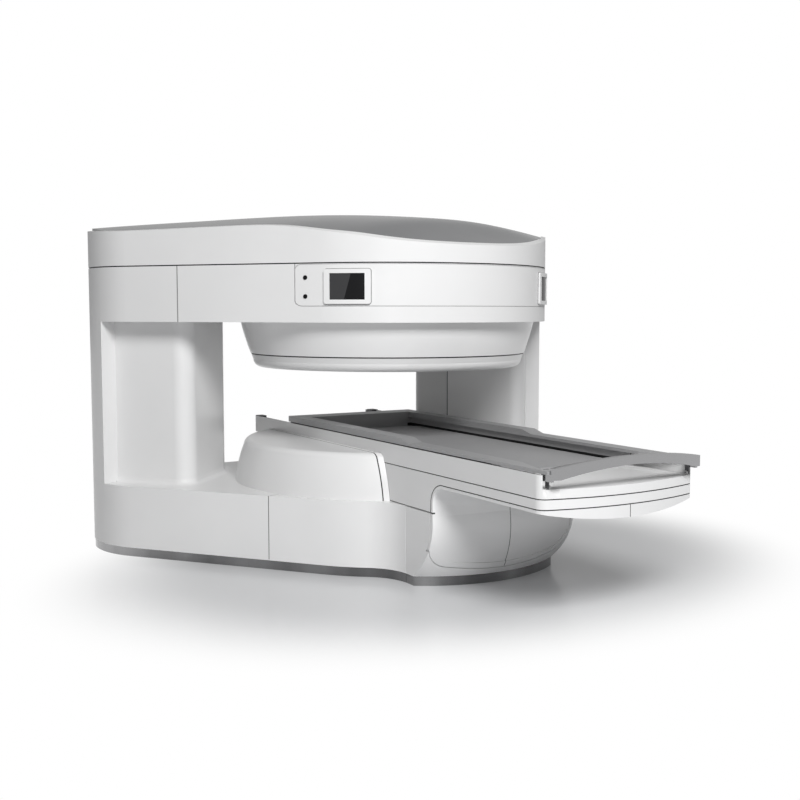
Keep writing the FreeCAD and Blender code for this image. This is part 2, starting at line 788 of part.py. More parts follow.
def build_band_front(body):
    """Front wall of the upper housing, with its underside."""
    pad(body, housing(), S.band_bottom, S.band_top)
    cut(body, housing(S.skin), S.band_bottom + S.skin, S.band_top)
    start = S.band_seam_angle
    reach = FAR * 2
    inner = (S.rear_seam_x, S.rear_seam_x * sine(start) / cosine(start) - S.seam)
    outer = (reach * cosine(start), reach * sine(start) - S.seam)
    behind = polygon([
        inner, outer, (reach, reach), (-reach, reach), (-outer[0], outer[1]), (-inner[0], inner[1]),
    ])
    cut(body, behind, S.band_bottom, S.band_top)
    cut(body, circle(spot(0, 0), S.soffit_hole), S.band_bottom, S.band_bottom + S.skin)
    for side in (1, -1):
        seam_groove(body, S.band_seam_angle, S.band_bottom, S.band_top, side)


def panel_form(body, gap):
    """The control panel: the outer half of the nose's wall, inside a rounded frame."""
    pad_all(body, [housing(), housing(S.panel_depth)], S.panel_bottom - gap, S.panel_top + gap)
    across = sine(S.wall_angle) * S.nose_radius + cosine(S.wall_angle) * S.panel_along + gap
    frame = faceted([
        (size(-90), -S.panel_bottom + gap, S.panel_corner),
        (ZERO, across, S.panel_corner),
        (size(90), S.panel_top + gap, S.panel_corner),
        (size(180), across, S.panel_corner),
    ])
    cut_all(body, [box(-FAR, S.panel_bottom - 200, FAR, S.panel_top + 200), frame], -FAR, 0, "XZ_Plane")
    cut(body, box(-FAR, 0, FAR, FAR), S.panel_bottom - gap, S.panel_top + gap)


def turn_to_wall(body):
    """Turn a piece that was drawn square to the nose to face along the front wall's normal."""
    body.Placement = FreeCAD.Placement(FreeCAD.Vector(), FreeCAD.Rotation(FreeCAD.Vector(0, 0, 1), 1))
    body.setExpression("Placement.Rotation.Angle", S.wall_angle.formula)


def button_holes():
    made = new_body("button_holes")
    for height in (S.button_low, S.button_high):
        hole = circle((S.button_along, height), S.button_radius + S.button_clearance)
        pad(made, hole, -S.nose_radius - 30, -S.nose_radius + 60, "XZ_Plane")
    made.AllowCompound = True
    turn_to_wall(made)
    return made


def build_button(body, height):
    """Sprung push button with a collar behind the wall."""
    face = -S.nose_radius - S.button_proud
    back = -S.nose_radius + S.skin + S.button_collar_gap
    pad(body, circle((S.button_along, height), S.button_radius), face, back + 4, "XZ_Plane")
    pad(body, circle((S.button_along, height), S.button_radius + 3), back, back + 4, "XZ_Plane")
    turn_to_wall(body)


def sector(start, end, low, high):
    """Ring sector in plan, between two angles and two radii."""
    return [
        ((low * cosine(start), low * sine(start)), (high * cosine(start), high * sine(start))),
        ((high * cosine(start), high * sine(start)), (high * cosine(end), high * sine(end)),
         spot(0, 0), high, 1),
        ((high * cosine(end), high * sine(end)), (low * cosine(end), low * sine(end))),
        ((low * cosine(end), low * sine(end)), (low * cosine(start), low * sine(start)),
         spot(0, 0), low, -1),
    ]


def display_sector(border, low, high):
    half = S.display_span / 2 - border / S.nose_radius * (180 / math.pi)
    middle = S.display_angle - 90
    return sector(middle - half, middle + half, low, high)


def build_display_bezel(body):
    pad(body, display_sector(ZERO, S.nose_radius, S.nose_radius + S.bezel_depth),
        S.display_bottom, S.display_top)
    doc.recompute()
    soften(body, radial_edges(body.Shape), S.bezel_corner)
    cut(body, display_sector(S.bezel_side, S.nose_radius - 20, S.nose_radius + 60),
        S.display_bottom + S.bezel_border, S.display_top - S.bezel_border)


def radial_edges(shape):
    """Names of a bezel's four corner edges, which run out from the nose."""
    names = []
    for number, edge in enumerate(shape.Edges, start=1):
        first, last = edge.firstVertex().Point, edge.lastVertex().Point
        outward = math.hypot(last.x, last.y) - math.hypot(first.x, first.y)
        if abs(first.z - last.z) < 0.01 and abs(abs(outward) - S.bezel_depth.value) < 0.01:
            names.append("Edge%d" % number)
    return names


def build_display_screen(body):
    pad(body, display_sector(S.bezel_side, S.nose_radius, S.nose_radius + S.bezel_depth - 4),
        S.display_bottom + S.bezel_border, S.display_top - S.bezel_border)


# ---------------------------------------------------------------- domed top


def dome(label, drop, rim=False):
    """The domed top as a solid block, lowered by drop, or the flatter dome that its rim follows."""
    made = new_body(label)
    sections = []
    for row in range(len(CROWN)):
        place = getattr(S, "crown_place_%s" % CROWN_ROWS[row])
        y = place * (S.nose_radius if place.value < 0 else S.rear_y)
        top = getattr(S, "crown_top_%s" % CROWN_ROWS[row]) - drop
        if rim:
            top = top - getattr(S, "crown_sink_%s" % CROWN_ROWS[row])
        half = getattr(S, "crown_half_%s" % CROWN_ROWS[row]) * S.half_width
        radius = getattr(S, ("crown_rim_radius_%s" if rim else "crown_radius_%s") % CROWN_ROWS[row])
        edge = top - radius + root(radius * radius - half * half)
        low = S.band_top - 106
        outline = [
            ((-half, low), (half, low)),
            ((half, low), (half, edge)),
            ((half, edge), (-half, edge), (ZERO, top - radius), radius, 1),
            ((-half, edge), (-half, low)),
        ]
        sections.append(new_sketch(made, [outline], "XZ_Plane", -y))
    loft = made.newObject("PartDesign::AdditiveLoft", label + "_loft")
    loft.Profile = sections[0]
    loft.Sections = sections[1:]
    return made


def ring_body(label, low, high, outer, inner):
    made = new_body(label)
    pad_all(made, [housing(outer), housing(inner)], low, high)
    return made


def build_top():
    """White top cover with its rim, the domed crown inside it and the gasket below."""
    block = dome("dome_block", ZERO, True)
    rim = ring_body("rim_ring", S.band_top + S.shadow_gap, S.band_top + 400, ZERO, S.rim_width)
    rim_part = combine("Common", "rim_part", rim, block)
    ledge = ring_body("rim_ledge", S.band_top + S.shadow_gap, S.band_top + S.shadow_gap + S.skin,
                      S.rim_width - 1, S.rim_width + 20)
    pieces.append(combine("Fuse", "top_cover", rim_part, ledge))
    lowered = dome("dome_lowered", S.crown_recess)
    core = new_body("crown_plan")
    pad(core, housing(S.rim_width + S.seam), S.band_top + S.shadow_gap + S.skin, S.band_top + 400)
    whole = combine("Common", "crown_whole", core, lowered)
    under = dome("dome_under", S.crown_recess + S.crown_skin)
    hollow_plan = new_body("crown_hollow_plan")
    pad(hollow_plan, housing(S.rim_width + S.seam + S.skin), S.band_top, S.band_top + 400)
    hollow_part = combine("Common", "crown_hollow", hollow_plan, under)
    pieces.append(combine("Cut", "top_crown", whole, hollow_part))
    seal = piece("top_seal")
    pad_all(seal, [housing(S.seal_inset), housing(S.seal_inset + 14)],
            S.band_top, S.band_top + S.shadow_gap)


# ---------------------------------------------------------------- pole covers


def build_upper_shroud(body):
    """Tapered upper part of the upper pole cover."""
    low = S.pole_ring_z + S.pole_ring_gap / 2
    wall = S.pole_wall
    top_point = (S.pole_top_radius, S.band_bottom)
    low_point = (S.pole_ring_radius, low)
    top_inner = (S.pole_top_radius - wall, S.band_bottom)
    low_inner = (S.pole_ring_radius - wall, low + wall)
    flange_top = (S.pole_ring_radius - wall * 3, low + wall)
    flange_low = (S.pole_ring_radius - wall * 3, low)
    spin(body, [
        bulge(low_point, top_point, size(3)),
        (top_point, top_inner),
        hollow(top_inner, low_inner, size(3)),
        (low_inner, flange_top),
        (flange_top, flange_low),
        (flange_low, low_point),
    ])


def build_upper_cap(body):
    """Flat rounded cap over the patient, with the neck that makes the dark ring."""
    wall = S.pole_wall
    edge = S.pole_edge_radius
    radius = S.pole_edge_r
    top = S.pole_ring_z - S.pole_ring_gap / 2
    neck_top = S.pole_ring_z + S.pole_ring_gap / 2
    centre = (radius - edge, S.pole_bottom + edge)
    neck_out = S.pole_ring_radius - wall - 2
    points = [
        (ZERO, S.pole_bottom),
        (centre[0], S.pole_bottom),
        (radius, centre[1]),
        (S.pole_ring_radius - wall / 2, top),
        (neck_out, top),
        (neck_out, neck_top),
        (neck_out - wall, neck_top),
        (neck_out - wall, top - wall),
        (radius - wall, centre[1]),
        (centre[0], S.pole_bottom + wall),
        (ZERO, S.pole_bottom + wall),
    ]
    outline = polygon(points)
    outline[1] = (points[1], points[2], centre, edge, 1)
    outline[8] = (points[8], points[9], centre, edge - wall, -1)
    spin(body, outline)


def lobe_outline(inset):
    """Section of the lower pole cover from its foot to the axis."""
    foot = (S.lobe_radius - inset, S.base_top)
    shoulder = (S.lobe_shoulder_radius - inset, S.lobe_shoulder_z)
    brow = (S.lobe_shoulder_radius - S.lobe_edge, S.lobe_top - inset)
    return foot, shoulder, brow


def lobe_shell(body):
    foot, shoulder, brow = lobe_outline(ZERO)
    foot_in, shoulder_in, brow_in = lobe_outline(S.pole_wall)
    centre = (ZERO, S.lobe_top)
    centre_in = (ZERO, S.lobe_top - S.pole_wall)
    spin(body, [
        bulge(foot, shoulder, S.lobe_bulge),
        bulge(shoulder, brow, S.lobe_edge_bulge),
        (brow, centre),
        (centre, centre_in),
        (centre_in, brow_in),
        hollow(brow_in, shoulder_in, S.lobe_edge_bulge),
        hollow(shoulder_in, foot_in, S.lobe_bulge),
        (foot_in, foot),
    ])


def build_lower_cover(body):
    lobe_shell(body)
    edge = S.table_half_width + S.lobe_slot_gap + S.lobe_trim_width + S.lobe_seam
    cut(body, box(-FAR, -FAR, edge, FAR), S.base_top - 10, S.lobe_top + 10)


def build_lower_trim(body):
    """Narrow trim between the lower pole cover and the table."""
    lobe_shell(body)
    near = S.table_half_width + S.lobe_slot_gap
    cut(body, box(-FAR, -FAR, near, FAR), S.base_top - 10, S.lobe_top + 10)
    cut(body, box(near + S.lobe_trim_width, -FAR, FAR, FAR), S.base_top - 10, S.lobe_top + 10)


def build_column_cover(body):
    """Covers of one column, with the flared foot that meets the ledge."""
    flare = [(S.flare, ZERO), (S.flare * 0.45, S.flare * 0.18), (S.flare * 0.15, S.flare * 0.5),
             (ZERO, S.flare * 1.1)]
    pad(body, column_plan(), S.base_top, S.band_bottom)
    sections = []
    for outset, height in flare:
        plan = column_plan(-outset)
        sections.append(new_sketch(body, [plan], "XY_Plane", S.base_top + height))
    loft = body.newObject("PartDesign::AdditiveLoft", body.Name + "_flare")
    loft.Profile = sections[0]
    loft.Sections = sections[1:]
    loft.Ruled = True
    cut(body, column_plan(S.skin, size(60)), S.base_top, S.band_bottom)
    # the flared foot ends at the upright's inner end
    corner = meet(S.column_return_angle, S.column_return, S.wall_angle - 90, S.column_front)
    beyond = meet(S.column_return_angle, S.column_return, ZERO, FAR)
    ahead = meet(S.wall_angle - 90, S.column_front, ZERO, FAR)
    cut(body, polygon([corner, beyond, ahead]), S.base_top, S.base_top + S.flare * 1.1)


# ---------------------------------------------------------------- magnet


def yoke_plan():
    corners = [
        (S.yoke_front_half, S.yoke_front_y),
        (S.yoke_side_x, S.yoke_side_y),
        (S.yoke_side_x, S.yoke_side_y + 260),
        (S.yoke_rear_x, S.yoke_rear_y),
    ]
    return polygon(corners + [(-x, y) for x, y in reversed(corners)])


def disc(body, radius, low, high):
    pad(body, circle(spot(0, 0), radius), low, high)


def build_stack():
    """Yoke, magnets, pole pieces and coils, the same above and below the patient gap."""
    lower = S.yoke_foot_height + S.yoke_thickness
    upper = lower + S.magnet_gap
    yoke = piece("lower_yoke")
    pad(yoke, yoke_plan(), S.yoke_foot_height, lower)
    yoke = piece("upper_yoke")
    pad(yoke, yoke_plan(), upper, upper + S.yoke_thickness)
    pair(lambda body: pad(body, iron_column_plan(), lower, upper), "yoke_column")
    for name, base, way in (("lower", lower, 1), ("upper", upper, -1)):
        level = base
        for kind, radius, thickness in (
                ("magnet", S.magnet_radius, S.magnet_thickness),
                ("pole_piece", S.pole_piece_radius, S.pole_piece_thickness),
                ("gradient_coil", S.gradient_radius, S.gradient_thickness),
                ("transmit_coil", S.coil_radius, S.coil_thickness)):
            body = piece("%s_%s" % (name, kind))
            beyond = level + thickness * way
            low, high = (level, beyond) if way > 0 else (beyond, level)
            disc(body, radius, low, high)
            if kind == "pole_piece":
                rim = beyond + S.gradient_thickness * way
                low, high = (beyond, rim) if way > 0 else (rim, beyond)
                pad_all(body, [circle(spot(0, 0), radius), circle(spot(0, 0), radius - S.shim_ring_width)],
                        low, high)
            level = beyond
    feet = piece("levelling_feet")
    feet.AllowCompound = True
    outlines = []
    for x, y in FEET:
        outlines.append(circle(spot(x, y), S.foot_radius))
    pad_all(feet, outlines, 0, S.yoke_foot_height)


FEET = [(-500, -350), (500, -350), (-950, 650), (950, 650)]


def build_skirt():
    """Metal plinth that runs right round the housing and the pedestal."""
    body = piece("skirt")
    inset = S.skirt_inset
    pad(body, housing(inset), 0, S.skirt_height)
    pad(body, pedestal_plan(S.pedestal_toe_y, S.pedestal_toe_bow, inset), 0, S.skirt_height)
    right = blend_plan(inset)
    pad(body, right, 0, S.skirt_height)
    left = []
    for segment in reversed(right):
        start, end = segment[1], segment[0]
        flipped = [(-start[0], start[1]), (-end[0], end[1])]
        if len(segment) > 2:
            flipped += [(-segment[2][0], segment[2][1]), segment[3], segment[4]]
        left.append(tuple(flipped))
    pad(body, left, 0, S.skirt_height)
    cut(body, housing(inset + S.skirt_wall), 0, S.skirt_height)
    cut(body, pedestal_plan(S.pedestal_toe_y, S.pedestal_toe_bow, inset + S.skirt_wall),
        0, S.skirt_height)


# ---------------------------------------------------------------- table and pedestal


def pedestal_plan(front_y, bow, inset=ZERO):
    """Plan of the pedestal at one level: straight sides and a bowed front."""
    half = S.table_half_width
    radius = (half * half + bow * bow) / (bow * 2)
    centre_y = front_y - bow + radius
    reach = radius - inset
    side = half - inset
    edge = centre_y - root(reach * reach - side * side)
    back = S.pedestal_back_y
    return [
        ((-side, edge), (side, edge), (ZERO, centre_y), reach, 1),
        ((side, edge), (side, back)),
        ((side, back), (-side, back)),
        ((-side, back), (-side, edge)),
    ]


def belly_section(low, edge):
    """Everything below the overhang's underside, which sinks in the middle."""
    half = S.table_half_width
    drop = S.belly_drop
    radius = (half * half + drop * drop) / (drop * 2)
    centre_z = edge - drop + radius
    wide = half + 30
    side = centre_z - root(radius * radius - wide * wide)
    return [
        ((-wide, low), (wide, low)),
        ((wide, low), (wide, side)),
        ((wide, side), (-wide, side), (ZERO, centre_z), radius, -1),
        ((-wide, side), (-wide, low)),
    ]


def under_form(label, inset, top):
    """Outer form of the pedestal and the overhang, moved inwards by inset."""
    made = new_body(label)
    inset = size(inset)
    start = S.lip_line_z - 120
    pad(made, table_plan(inset), start, top)
    cut(made, box(-FAR, S.pedestal_back_y + inset, FAR, FAR), start, top)
    edge = S.lip_line_z - S.rim_height + inset
    cut(made, belly_section(start - 60, edge), -FAR, S.pedestal_front_y + 20, "XZ_Plane")
    levels = [
        (S.skirt_height, S.pedestal_toe_y, S.pedestal_toe_bow),
        (S.pedestal_knee_z, S.pedestal_knee_y, S.pedestal_knee_bow),
        (S.pedestal_chest_z, S.pedestal_front_y, S.pedestal_bow),
    ]
    sections = []
    for height, front_y, bow in levels:
        plan = pedestal_plan(front_y, bow, inset)
        sections.append(new_sketch(made, [plan], "XY_Plane", height))
    loft = made.newObject("PartDesign::AdditiveLoft", label + "_loft")
    loft.Profile = sections[0]
    loft.Sections = sections[1:]
    pad(made, pedestal_plan(S.pedestal_front_y, S.pedestal_bow, inset), S.pedestal_chest_z, top)
    doc.recompute()
    names = throat_edges(made.Shape, inset.value)
    soften(made, names, S.throat_radius + inset)
    return made


def throat_edges(shape, inset):
    """The hollow edge where the pedestal's front meets the overhang's underside."""
    front = S.pedestal_front_y.value - S.pedestal_bow.value + inset
    level = S.lip_line_z.value - S.rim_height.value - S.belly_drop.value + inset
    names = []
    for number, edge in enumerate(shape.Edges, start=1):
        bounds = edge.BoundBox
        wide = bounds.XLength > S.table_half_width.value
        reaches = abs(bounds.YMin - front) < 2 and abs(bounds.ZMin - level) < 2
        if wide and reaches:
            names.append("Edge%d" % number)
    return names


def rim_frame(half, bottom, corner):
    """Front view of the pedestal's rim: slightly bowed below, round corners, open above."""
    bow = size(1812)
    tilt = size(8)
    centre_z = bottom + bow
    reach = bow - centre_z * cosine(tilt)
    return faceted([
        (-tilt - 90, reach, bow),
        (tilt - 90, reach, corner),
        (ZERO, half, size(5)),
        (size(90), S.groove_z + 200, size(5)),
        (size(180), half, corner),
    ])


def lip_region(label, growth, near_x):
    """Space that the panels under the table take up, as far as the seam round their rim."""
    made = new_body(label)
    back = S.rim_height + growth
    side_y = S.pedestal_front_y + back
    top_z = S.lip_line_z + growth
    radius = S.throat_radius + back
    centre = (side_y - radius, top_z - radius)
    far = -FAR
    profile = polygon([
        (far, ZERO),
        (S.pedestal_toe_y + back, ZERO),
        (S.pedestal_toe_y + back, S.skirt_height),
        (S.pedestal_knee_y + back, S.pedestal_knee_z),
        (side_y, S.pedestal_chest_z),
        (side_y, centre[1]),
        (centre[0], top_z),
        (far, top_z),
    ])
    profile[5] = ((side_y, centre[1]), (centre[0], top_z), centre, radius, 1)
    pad(made, profile, near_x, S.table_half_width + S.blend_radius + 40, "YZ_Plane")
    frame = rim_frame(S.table_half_width + 6 + growth, S.rim_bottom - growth, S.rim_corner + growth)
    cut_all(made, [box(-FAR, -500, FAR, 2000), frame], -FAR, S.pedestal_toe_y + 60, "XZ_Plane")
    return made


def slab(label, low_x, high_x, back, low, high):
    made = new_body(label)
    pad(made, box(low_x, -FAR, high_x, back), low, high)
    return made


def build_under_covers():
    """Covers below the table: one band, two front panels and the pedestal's sides."""
    outer = under_form("under_outer", 0, S.groove_z)
    middle = under_form("under_grooved", S.scoop_depth, S.groove_z + 30)
    inner = under_form("under_hollow", S.cover_wall, S.groove_z + 30)
    half_gap = S.groove_gap / 2
    wide = lip_region("lip_wide", half_gap, -700)
    narrow = lip_region("lip_narrow", -half_gap, -700)
    band = combine("Cut", "lip_band", wide, narrow)
    far = S.pedestal_back_y + 300
    low_slab = slab("base_slab", -700, 700, far, S.base_top - half_gap, S.base_top + half_gap)
    low_band = combine("Cut", "base_band", low_slab, wide)
    top_band = slab("top_band", -700, 700, far, S.groove_z - half_gap, S.groove_z + 10)
    bands = combine("Fuse", "bands_low", band, low_band)
    bands = combine("Fuse", "bands", bands, top_band)
    grooves = combine("Cut", "grooves", bands, middle)
    scoop = new_body("scoop_frame")
    frame = rim_frame(S.table_half_width - S.rim_height, S.scoop_bottom, S.scoop_corner)
    pad(scoop, frame, -FAR, S.pedestal_front_y + 200, "XZ_Plane")
    plan = new_body("scoop_plan")
    pad(plan, table_plan(S.rim_height), 0, S.groove_z)
    scoop = combine("Common", "scoop_space", scoop, plan)
    recess = combine("Cut", "scoop_recess", scoop, middle)
    shell = combine("Cut", "under_shell", outer, inner)
    carved = combine("Cut", "under_grooves_cut", shell, grooves)
    carved = combine("Cut", "under_carved", carved, recess)
    half_seam = S.front_seam / 2
    right = combine("Common", "right_belly_cover", carved, lip_region("lip_right", ZERO, half_seam))
    pieces.append(right)
    mirrored(right, "left_belly_cover")
    whole = lip_region("lip_whole", ZERO, -700)
    upper_slab = slab("middle_slab", -700, 700, S.pedestal_back_y + 300, S.base_top, S.groove_z)
    upper = combine("Common", "middle_band", carved, upper_slab)
    pieces.append(combine("Cut", "table_middle_cover", upper, whole))
    lower_slab = slab("lower_slab", half_seam, 700, S.pedestal_join_y, S.skirt_height, S.base_top)
    lower = combine("Common", "pedestal_band", carved, lower_slab)
    lower = combine("Cut", "pedestal_side", lower, whole)
    wall = new_body("base_wall")
    build_base_wall(wall)
    base = combine("Fuse", "right_base_front", wall, lower)
    pieces.append(base)
    mirrored(base, "left_base_front")


def build_upper_cover(body):
    """The table's long upper cover: deck, side walls and end caps in one."""
    wall = S.table_wall
    pad(body, table_plan(), S.groove_z, S.side_top)
    cut(body, table_plan(wall), S.groove_z, S.deck_top - S.deck_thickness)
    cut(body, table_plan(wall), S.deck_top, S.side_top)
    cut(body, box(-FAR, -FAR, FAR, S.side_end_y), S.deck_top, S.side_top)
    inner = S.table_half_width - wall
    cut(body, box(-inner, -FAR, inner, S.side_end_y + 80), S.deck_top, S.side_top)
    cut_all(body, [table_plan(size(-5)), table_plan(S.groove_depth)],
            S.groove_z, S.groove_z + S.groove_gap / 2)
    slots = []
    reach = S.roller_radius + 4
    half = S.roller_width / 2 + 2
    for row in range(3):
        y = S.roller_first_y + S.roller_pitch * row
        for side in (-1, 1):
            x = S.roller_x * side
            slots.append(box(x - half, y - reach, x + half, y + reach))
    slots.append(box(-12, S.clamp_y - 20, 16, S.clamp_y + S.tray_travel + 20))
    cut_all(body, slots, S.deck_top - S.deck_thickness, S.deck_top)


def build_end_caps(body):
    """Dark stops at the far end of the tray's guides."""
    body.AllowCompound = True
    low = S.end_cap_x
    inner = S.table_half_width - S.table_wall
    outer = S.table_half_width - 1
    near = S.table_far_y - S.end_cap_length
    far = S.table_far_y - S.table_far_radius
    for side in (-1, 1):
        x_low, x_high = (low, inner) if side > 0 else (-inner, -low)
        pad(body, box(x_low, near, x_high, far), S.deck_top, S.side_top)
        x_low, x_high = (low, outer) if side > 0 else (-outer, -low)
        pad(body, box(x_low, near, x_high, far), S.side_top, S.side_top + 4)


def roller_height():
    return S.tray_floor - S.rolling_gap - S.roller_radius


def build_frame(body):
    """Welded frame that carries the table from the floor."""
    low = S.beam_x - S.beam_width / 2
    high = S.beam_x + S.beam_width / 2
    near = S.frame_near_y
    far = S.rear_leg_y + S.rear_leg_deep
    for side in (-1, 1):
        x_low, x_high = (low, high) if side > 0 else (-high, -low)
        pad(body, box(x_low, near, x_high, far), S.beam_low, S.beam_high)
        pad(body, box(x_low, S.post_near_y, x_high, S.post_far_y), 0, S.beam_low)
        pad(body, box(x_low, S.rear_leg_y, x_high, far), 0, S.beam_low)
        # arm that bolts to the front of the lower yoke
        arm = S.yoke_foot_height + 60
        pad(body, box(x_low, S.post_far_y, x_high, S.yoke_front_y), arm, arm + 40)
    for y in (near, S.rear_leg_y):
        pad(body, box(-high, y, high, y + S.rear_leg_deep), S.beam_low, S.beam_high)
    for y in (S.post_near_y, S.post_far_y - S.beam_width, S.brace_y):
        pad(body, box(-high, y, high, y + S.beam_width), S.beam_low - 8, S.beam_low + 0.5)
    # plates that carry the two belt pulleys
    for side in (-1, 1):
        x_low, x_high = (22, 30) if side > 0 else (-30, -22)
        pad(body, box(x_low, near + 5, x_high, S.pulley_near_y + 15), S.beam_low, S.beam_high)
        pad(body, box(x_low, S.pulley_far_y - 15, x_high, S.rear_leg_y + 5), S.beam_low, S.beam_high)
    bore = S.axle_radius + S.running_clearance
    bores = []
    for row in range(3):
        bores.append(circle((S.roller_first_y + S.roller_pitch * row, roller_height()), bore))
    bores.append(circle((S.pulley_near_y, S.pulley_z), bore))
    bores.append(circle((S.pulley_far_y, S.pulley_z), bore))
    cut_all(body, bores, -FAR, FAR, "YZ_Plane")


def build_roller(body, row):
    """Axle with two rollers that carry the tray."""
    centre = (S.roller_first_y + S.roller_pitch * row, roller_height())
    end = S.beam_x + S.beam_width / 2 - 1
    pad(body, circle(centre, S.axle_radius), -end, end, "YZ_Plane")
    half = S.roller_width / 2
    for side in (-1, 1):
        x = S.roller_x * side
        pad(body, circle(centre, S.roller_radius), x - half, x + half, "YZ_Plane")


def build_pulley(body, y, shaft_end):
    centre = (y, S.pulley_z)
    pad(body, circle(centre, S.axle_radius), -30, shaft_end, "YZ_Plane")
    half = S.pulley_width / 2
    pad(body, circle(centre, S.pulley_radius), -half, half, "YZ_Plane")


def loop(radius):
    """Outline round the two belt pulleys, seen from the side."""
    near = S.pulley_near_y
    far = S.pulley_far_y
    low = S.pulley_z - radius
    high = S.pulley_z + radius
    return [
        ((near, low), (far, low)),
        ((far, low), (far, high), (far, S.pulley_z), radius, 1),
        ((far, high), (near, high)),
        ((near, high), (near, low), (near, S.pulley_z), radius, 1),
    ]


def build_belt(body):
    inner = S.pulley_radius + S.running_clearance
    half = S.belt_width / 2
    pad_all(body, [loop(inner + S.belt_thickness), loop(inner)], -half, half, "YZ_Plane")


def build_motor(body):
    """Gearbox on the drive pulley's shaft, with its motor hanging below."""
    y = S.pulley_near_y
    low = S.beam_low - 14
    pad(body, box(30, y - 34, 96, y + 34), low, S.beam_high)
    pad(body, circle((size(63), y), S.motor_radius), low - S.motor_length, low)
    cut(body, circle((y, S.pulley_z), S.axle_radius + S.running_clearance), 30, 52, "YZ_Plane")


# ---------------------------------------------------------------- patient tray


def handle_centre():
    return S.handle_near_y + S.handle_radius


def rail_plan(half, far):
    """Plan of the tray's rails, with their near ends against the push bar."""
    centre_y = handle_centre()
    radius = S.handle_radius - S.handle_depth
    near = centre_y - root(radius * radius - half * half)
    return [
        ((-half, near), (half, near), (ZERO, centre_y), radius, 1),
        ((half, near), (half, far)),
        ((half, far), (-half, far)),
        ((-half, far), (-half, near)),
    ]


def build_tray(body):
    """Sliding tray: floor, hollow side rails with lowered armrests, and the head end."""
    wall = S.tray_wall
    body_far = S.tray_far_y - 9
    floor_top = S.tray_floor + S.tray_floor_thickness
    half = S.tray_body_half
    pad(body, box(-half, S.board_near_y, half, body_far), S.tray_floor, S.tray_rail_low)
    pad(body, rail_plan(S.tray_half_width, S.tray_far_y), S.tray_rail_low, S.tray_rail_top)
    inner = S.tray_wall_inner
    cut(body, box(-inner, -FAR, inner, S.tray_head_y), floor_top, S.tray_rail_low)
    right = [
        (S.arm_inner, -FAR),
        (S.arm_inner, S.arm_taper_near_y),
        (S.tray_rail_inner, S.arm_taper_far_y),
        (S.tray_rail_inner, S.tray_head_y),
    ]
    cut(body, polygon(right + [(-x, y) for x, y in reversed(right)]), S.tray_rail_low, S.tray_rail_top)
    near = S.board_near_y + wall
    ceiling = S.tray_rail_top - S.armrest_drop - wall
    for side in (-1, 1):
        low = S.tray_wall_inner + wall
        high = half - wall
        low, high = (low, high) if side > 0 else (-high, -low)
        cut(body, box(low, near, high, S.tray_head_y), S.tray_floor, ceiling)
    high = half - wall
    cut(body, box(-high, S.tray_head_y + wall, high, body_far - wall), S.tray_floor, ceiling)
    top = S.tray_rail_top
    cut(body, polygon([
        (-FAR, top - S.armrest_drop),
        (S.armrest_far_y, top - S.armrest_drop),
        (S.armrest_far_y + S.armrest_ramp, top),
        (S.armrest_far_y + S.armrest_ramp, top + 40),
        (-FAR, top + 40),
    ]), -FAR, FAR, "YZ_Plane")


def build_mat(body):
    """Thin mat on the tray's floor, with rounded corners at the head end."""
    low = S.tray_floor + S.tray_floor_thickness
    half = S.tray_wall_inner - S.mat_gap
    plan = faceted([
        (size(-90), -(S.board_near_y + S.mat_gap), None),
        (ZERO, half, S.mat_corner),
        (size(90), S.tray_head_y - S.mat_margin, S.mat_corner),
        (size(180), half, None),
    ])
    pad(body, plan, low, low + S.mat_thickness)


def build_handle(body):
    """Arched push bar across the tray's near end, bowed like the table's end, and its corners."""
    half = S.handle_half_width
    foot = half - S.handle_foot
    rise = S.handle_arch_top - S.handle_end_top
    lift = S.handle_arch_low - S.handle_end_low
    low = S.handle_end_low
    high = S.handle_end_top
    pad(body, [
        ((-half, low), (-foot, low)),
        hollow((-foot, low), (foot, low), lift),
        ((foot, low), (half, low)),
        ((half, low), (half, high)),
        bulge((half, high), (-half, high), rise),
        ((-half, high), (-half, low)),
    ], S.handle_near_y - 10, S.handle_near_y + 120, "XZ_Plane")
    centre_y = handle_centre()
    outer = S.handle_radius
    inner = outer - S.handle_depth
    wide = half + 1
    outer_y = centre_y - root(outer * outer - wide * wide)
    inner_y = centre_y - root(inner * inner - wide * wide)
    centre = (ZERO, centre_y)
    strip = [
        ((-wide, outer_y), (wide, outer_y), centre, outer, 1),
        ((wide, outer_y), (wide, inner_y)),
        ((wide, inner_y), (-wide, inner_y), centre, inner, -1),
        ((-wide, inner_y), (-wide, outer_y)),
    ]
    around = box(-600, S.handle_near_y - 100, 600, S.handle_near_y + 300)
    cut_all(body, [around, strip], S.handle_end_low, S.handle_arch_top + 10)
    end_y = centre_y - root(inner * inner - half * half)
    for side in (-1, 1):
        low_x, high_x = (S.arm_inner - 1, half) if side > 0 else (-half, -S.arm_inner + 1)
        pad(body, box(low_x, end_y - 12, high_x, S.lug_far_y), S.lug_low, S.tray_rail_low)


def build_brackets(body):
    """Small axle brackets under the ends of the push bar."""
    body.AllowCompound = True
    centre = (S.end_roller_y, S.deck_top + S.end_roller_radius + S.rolling_gap)
    near = S.end_roller_x + S.end_roller_width / 2
    for side in (-1, 1):
        plate = (near + 1, near + 6)
        pin = (near - S.end_roller_width - 1, near + 1)
        if side < 0:
            plate = (-plate[1], -plate[0])
            pin = (-pin[1], -pin[0])
        pad(body, box(plate[0], S.end_roller_y - 10, plate[1], S.end_roller_y + 10),
            centre[1] - 5, S.tray_rail_low)
        pad(body, circle(centre, size(3)), pin[0], pin[1], "YZ_Plane")


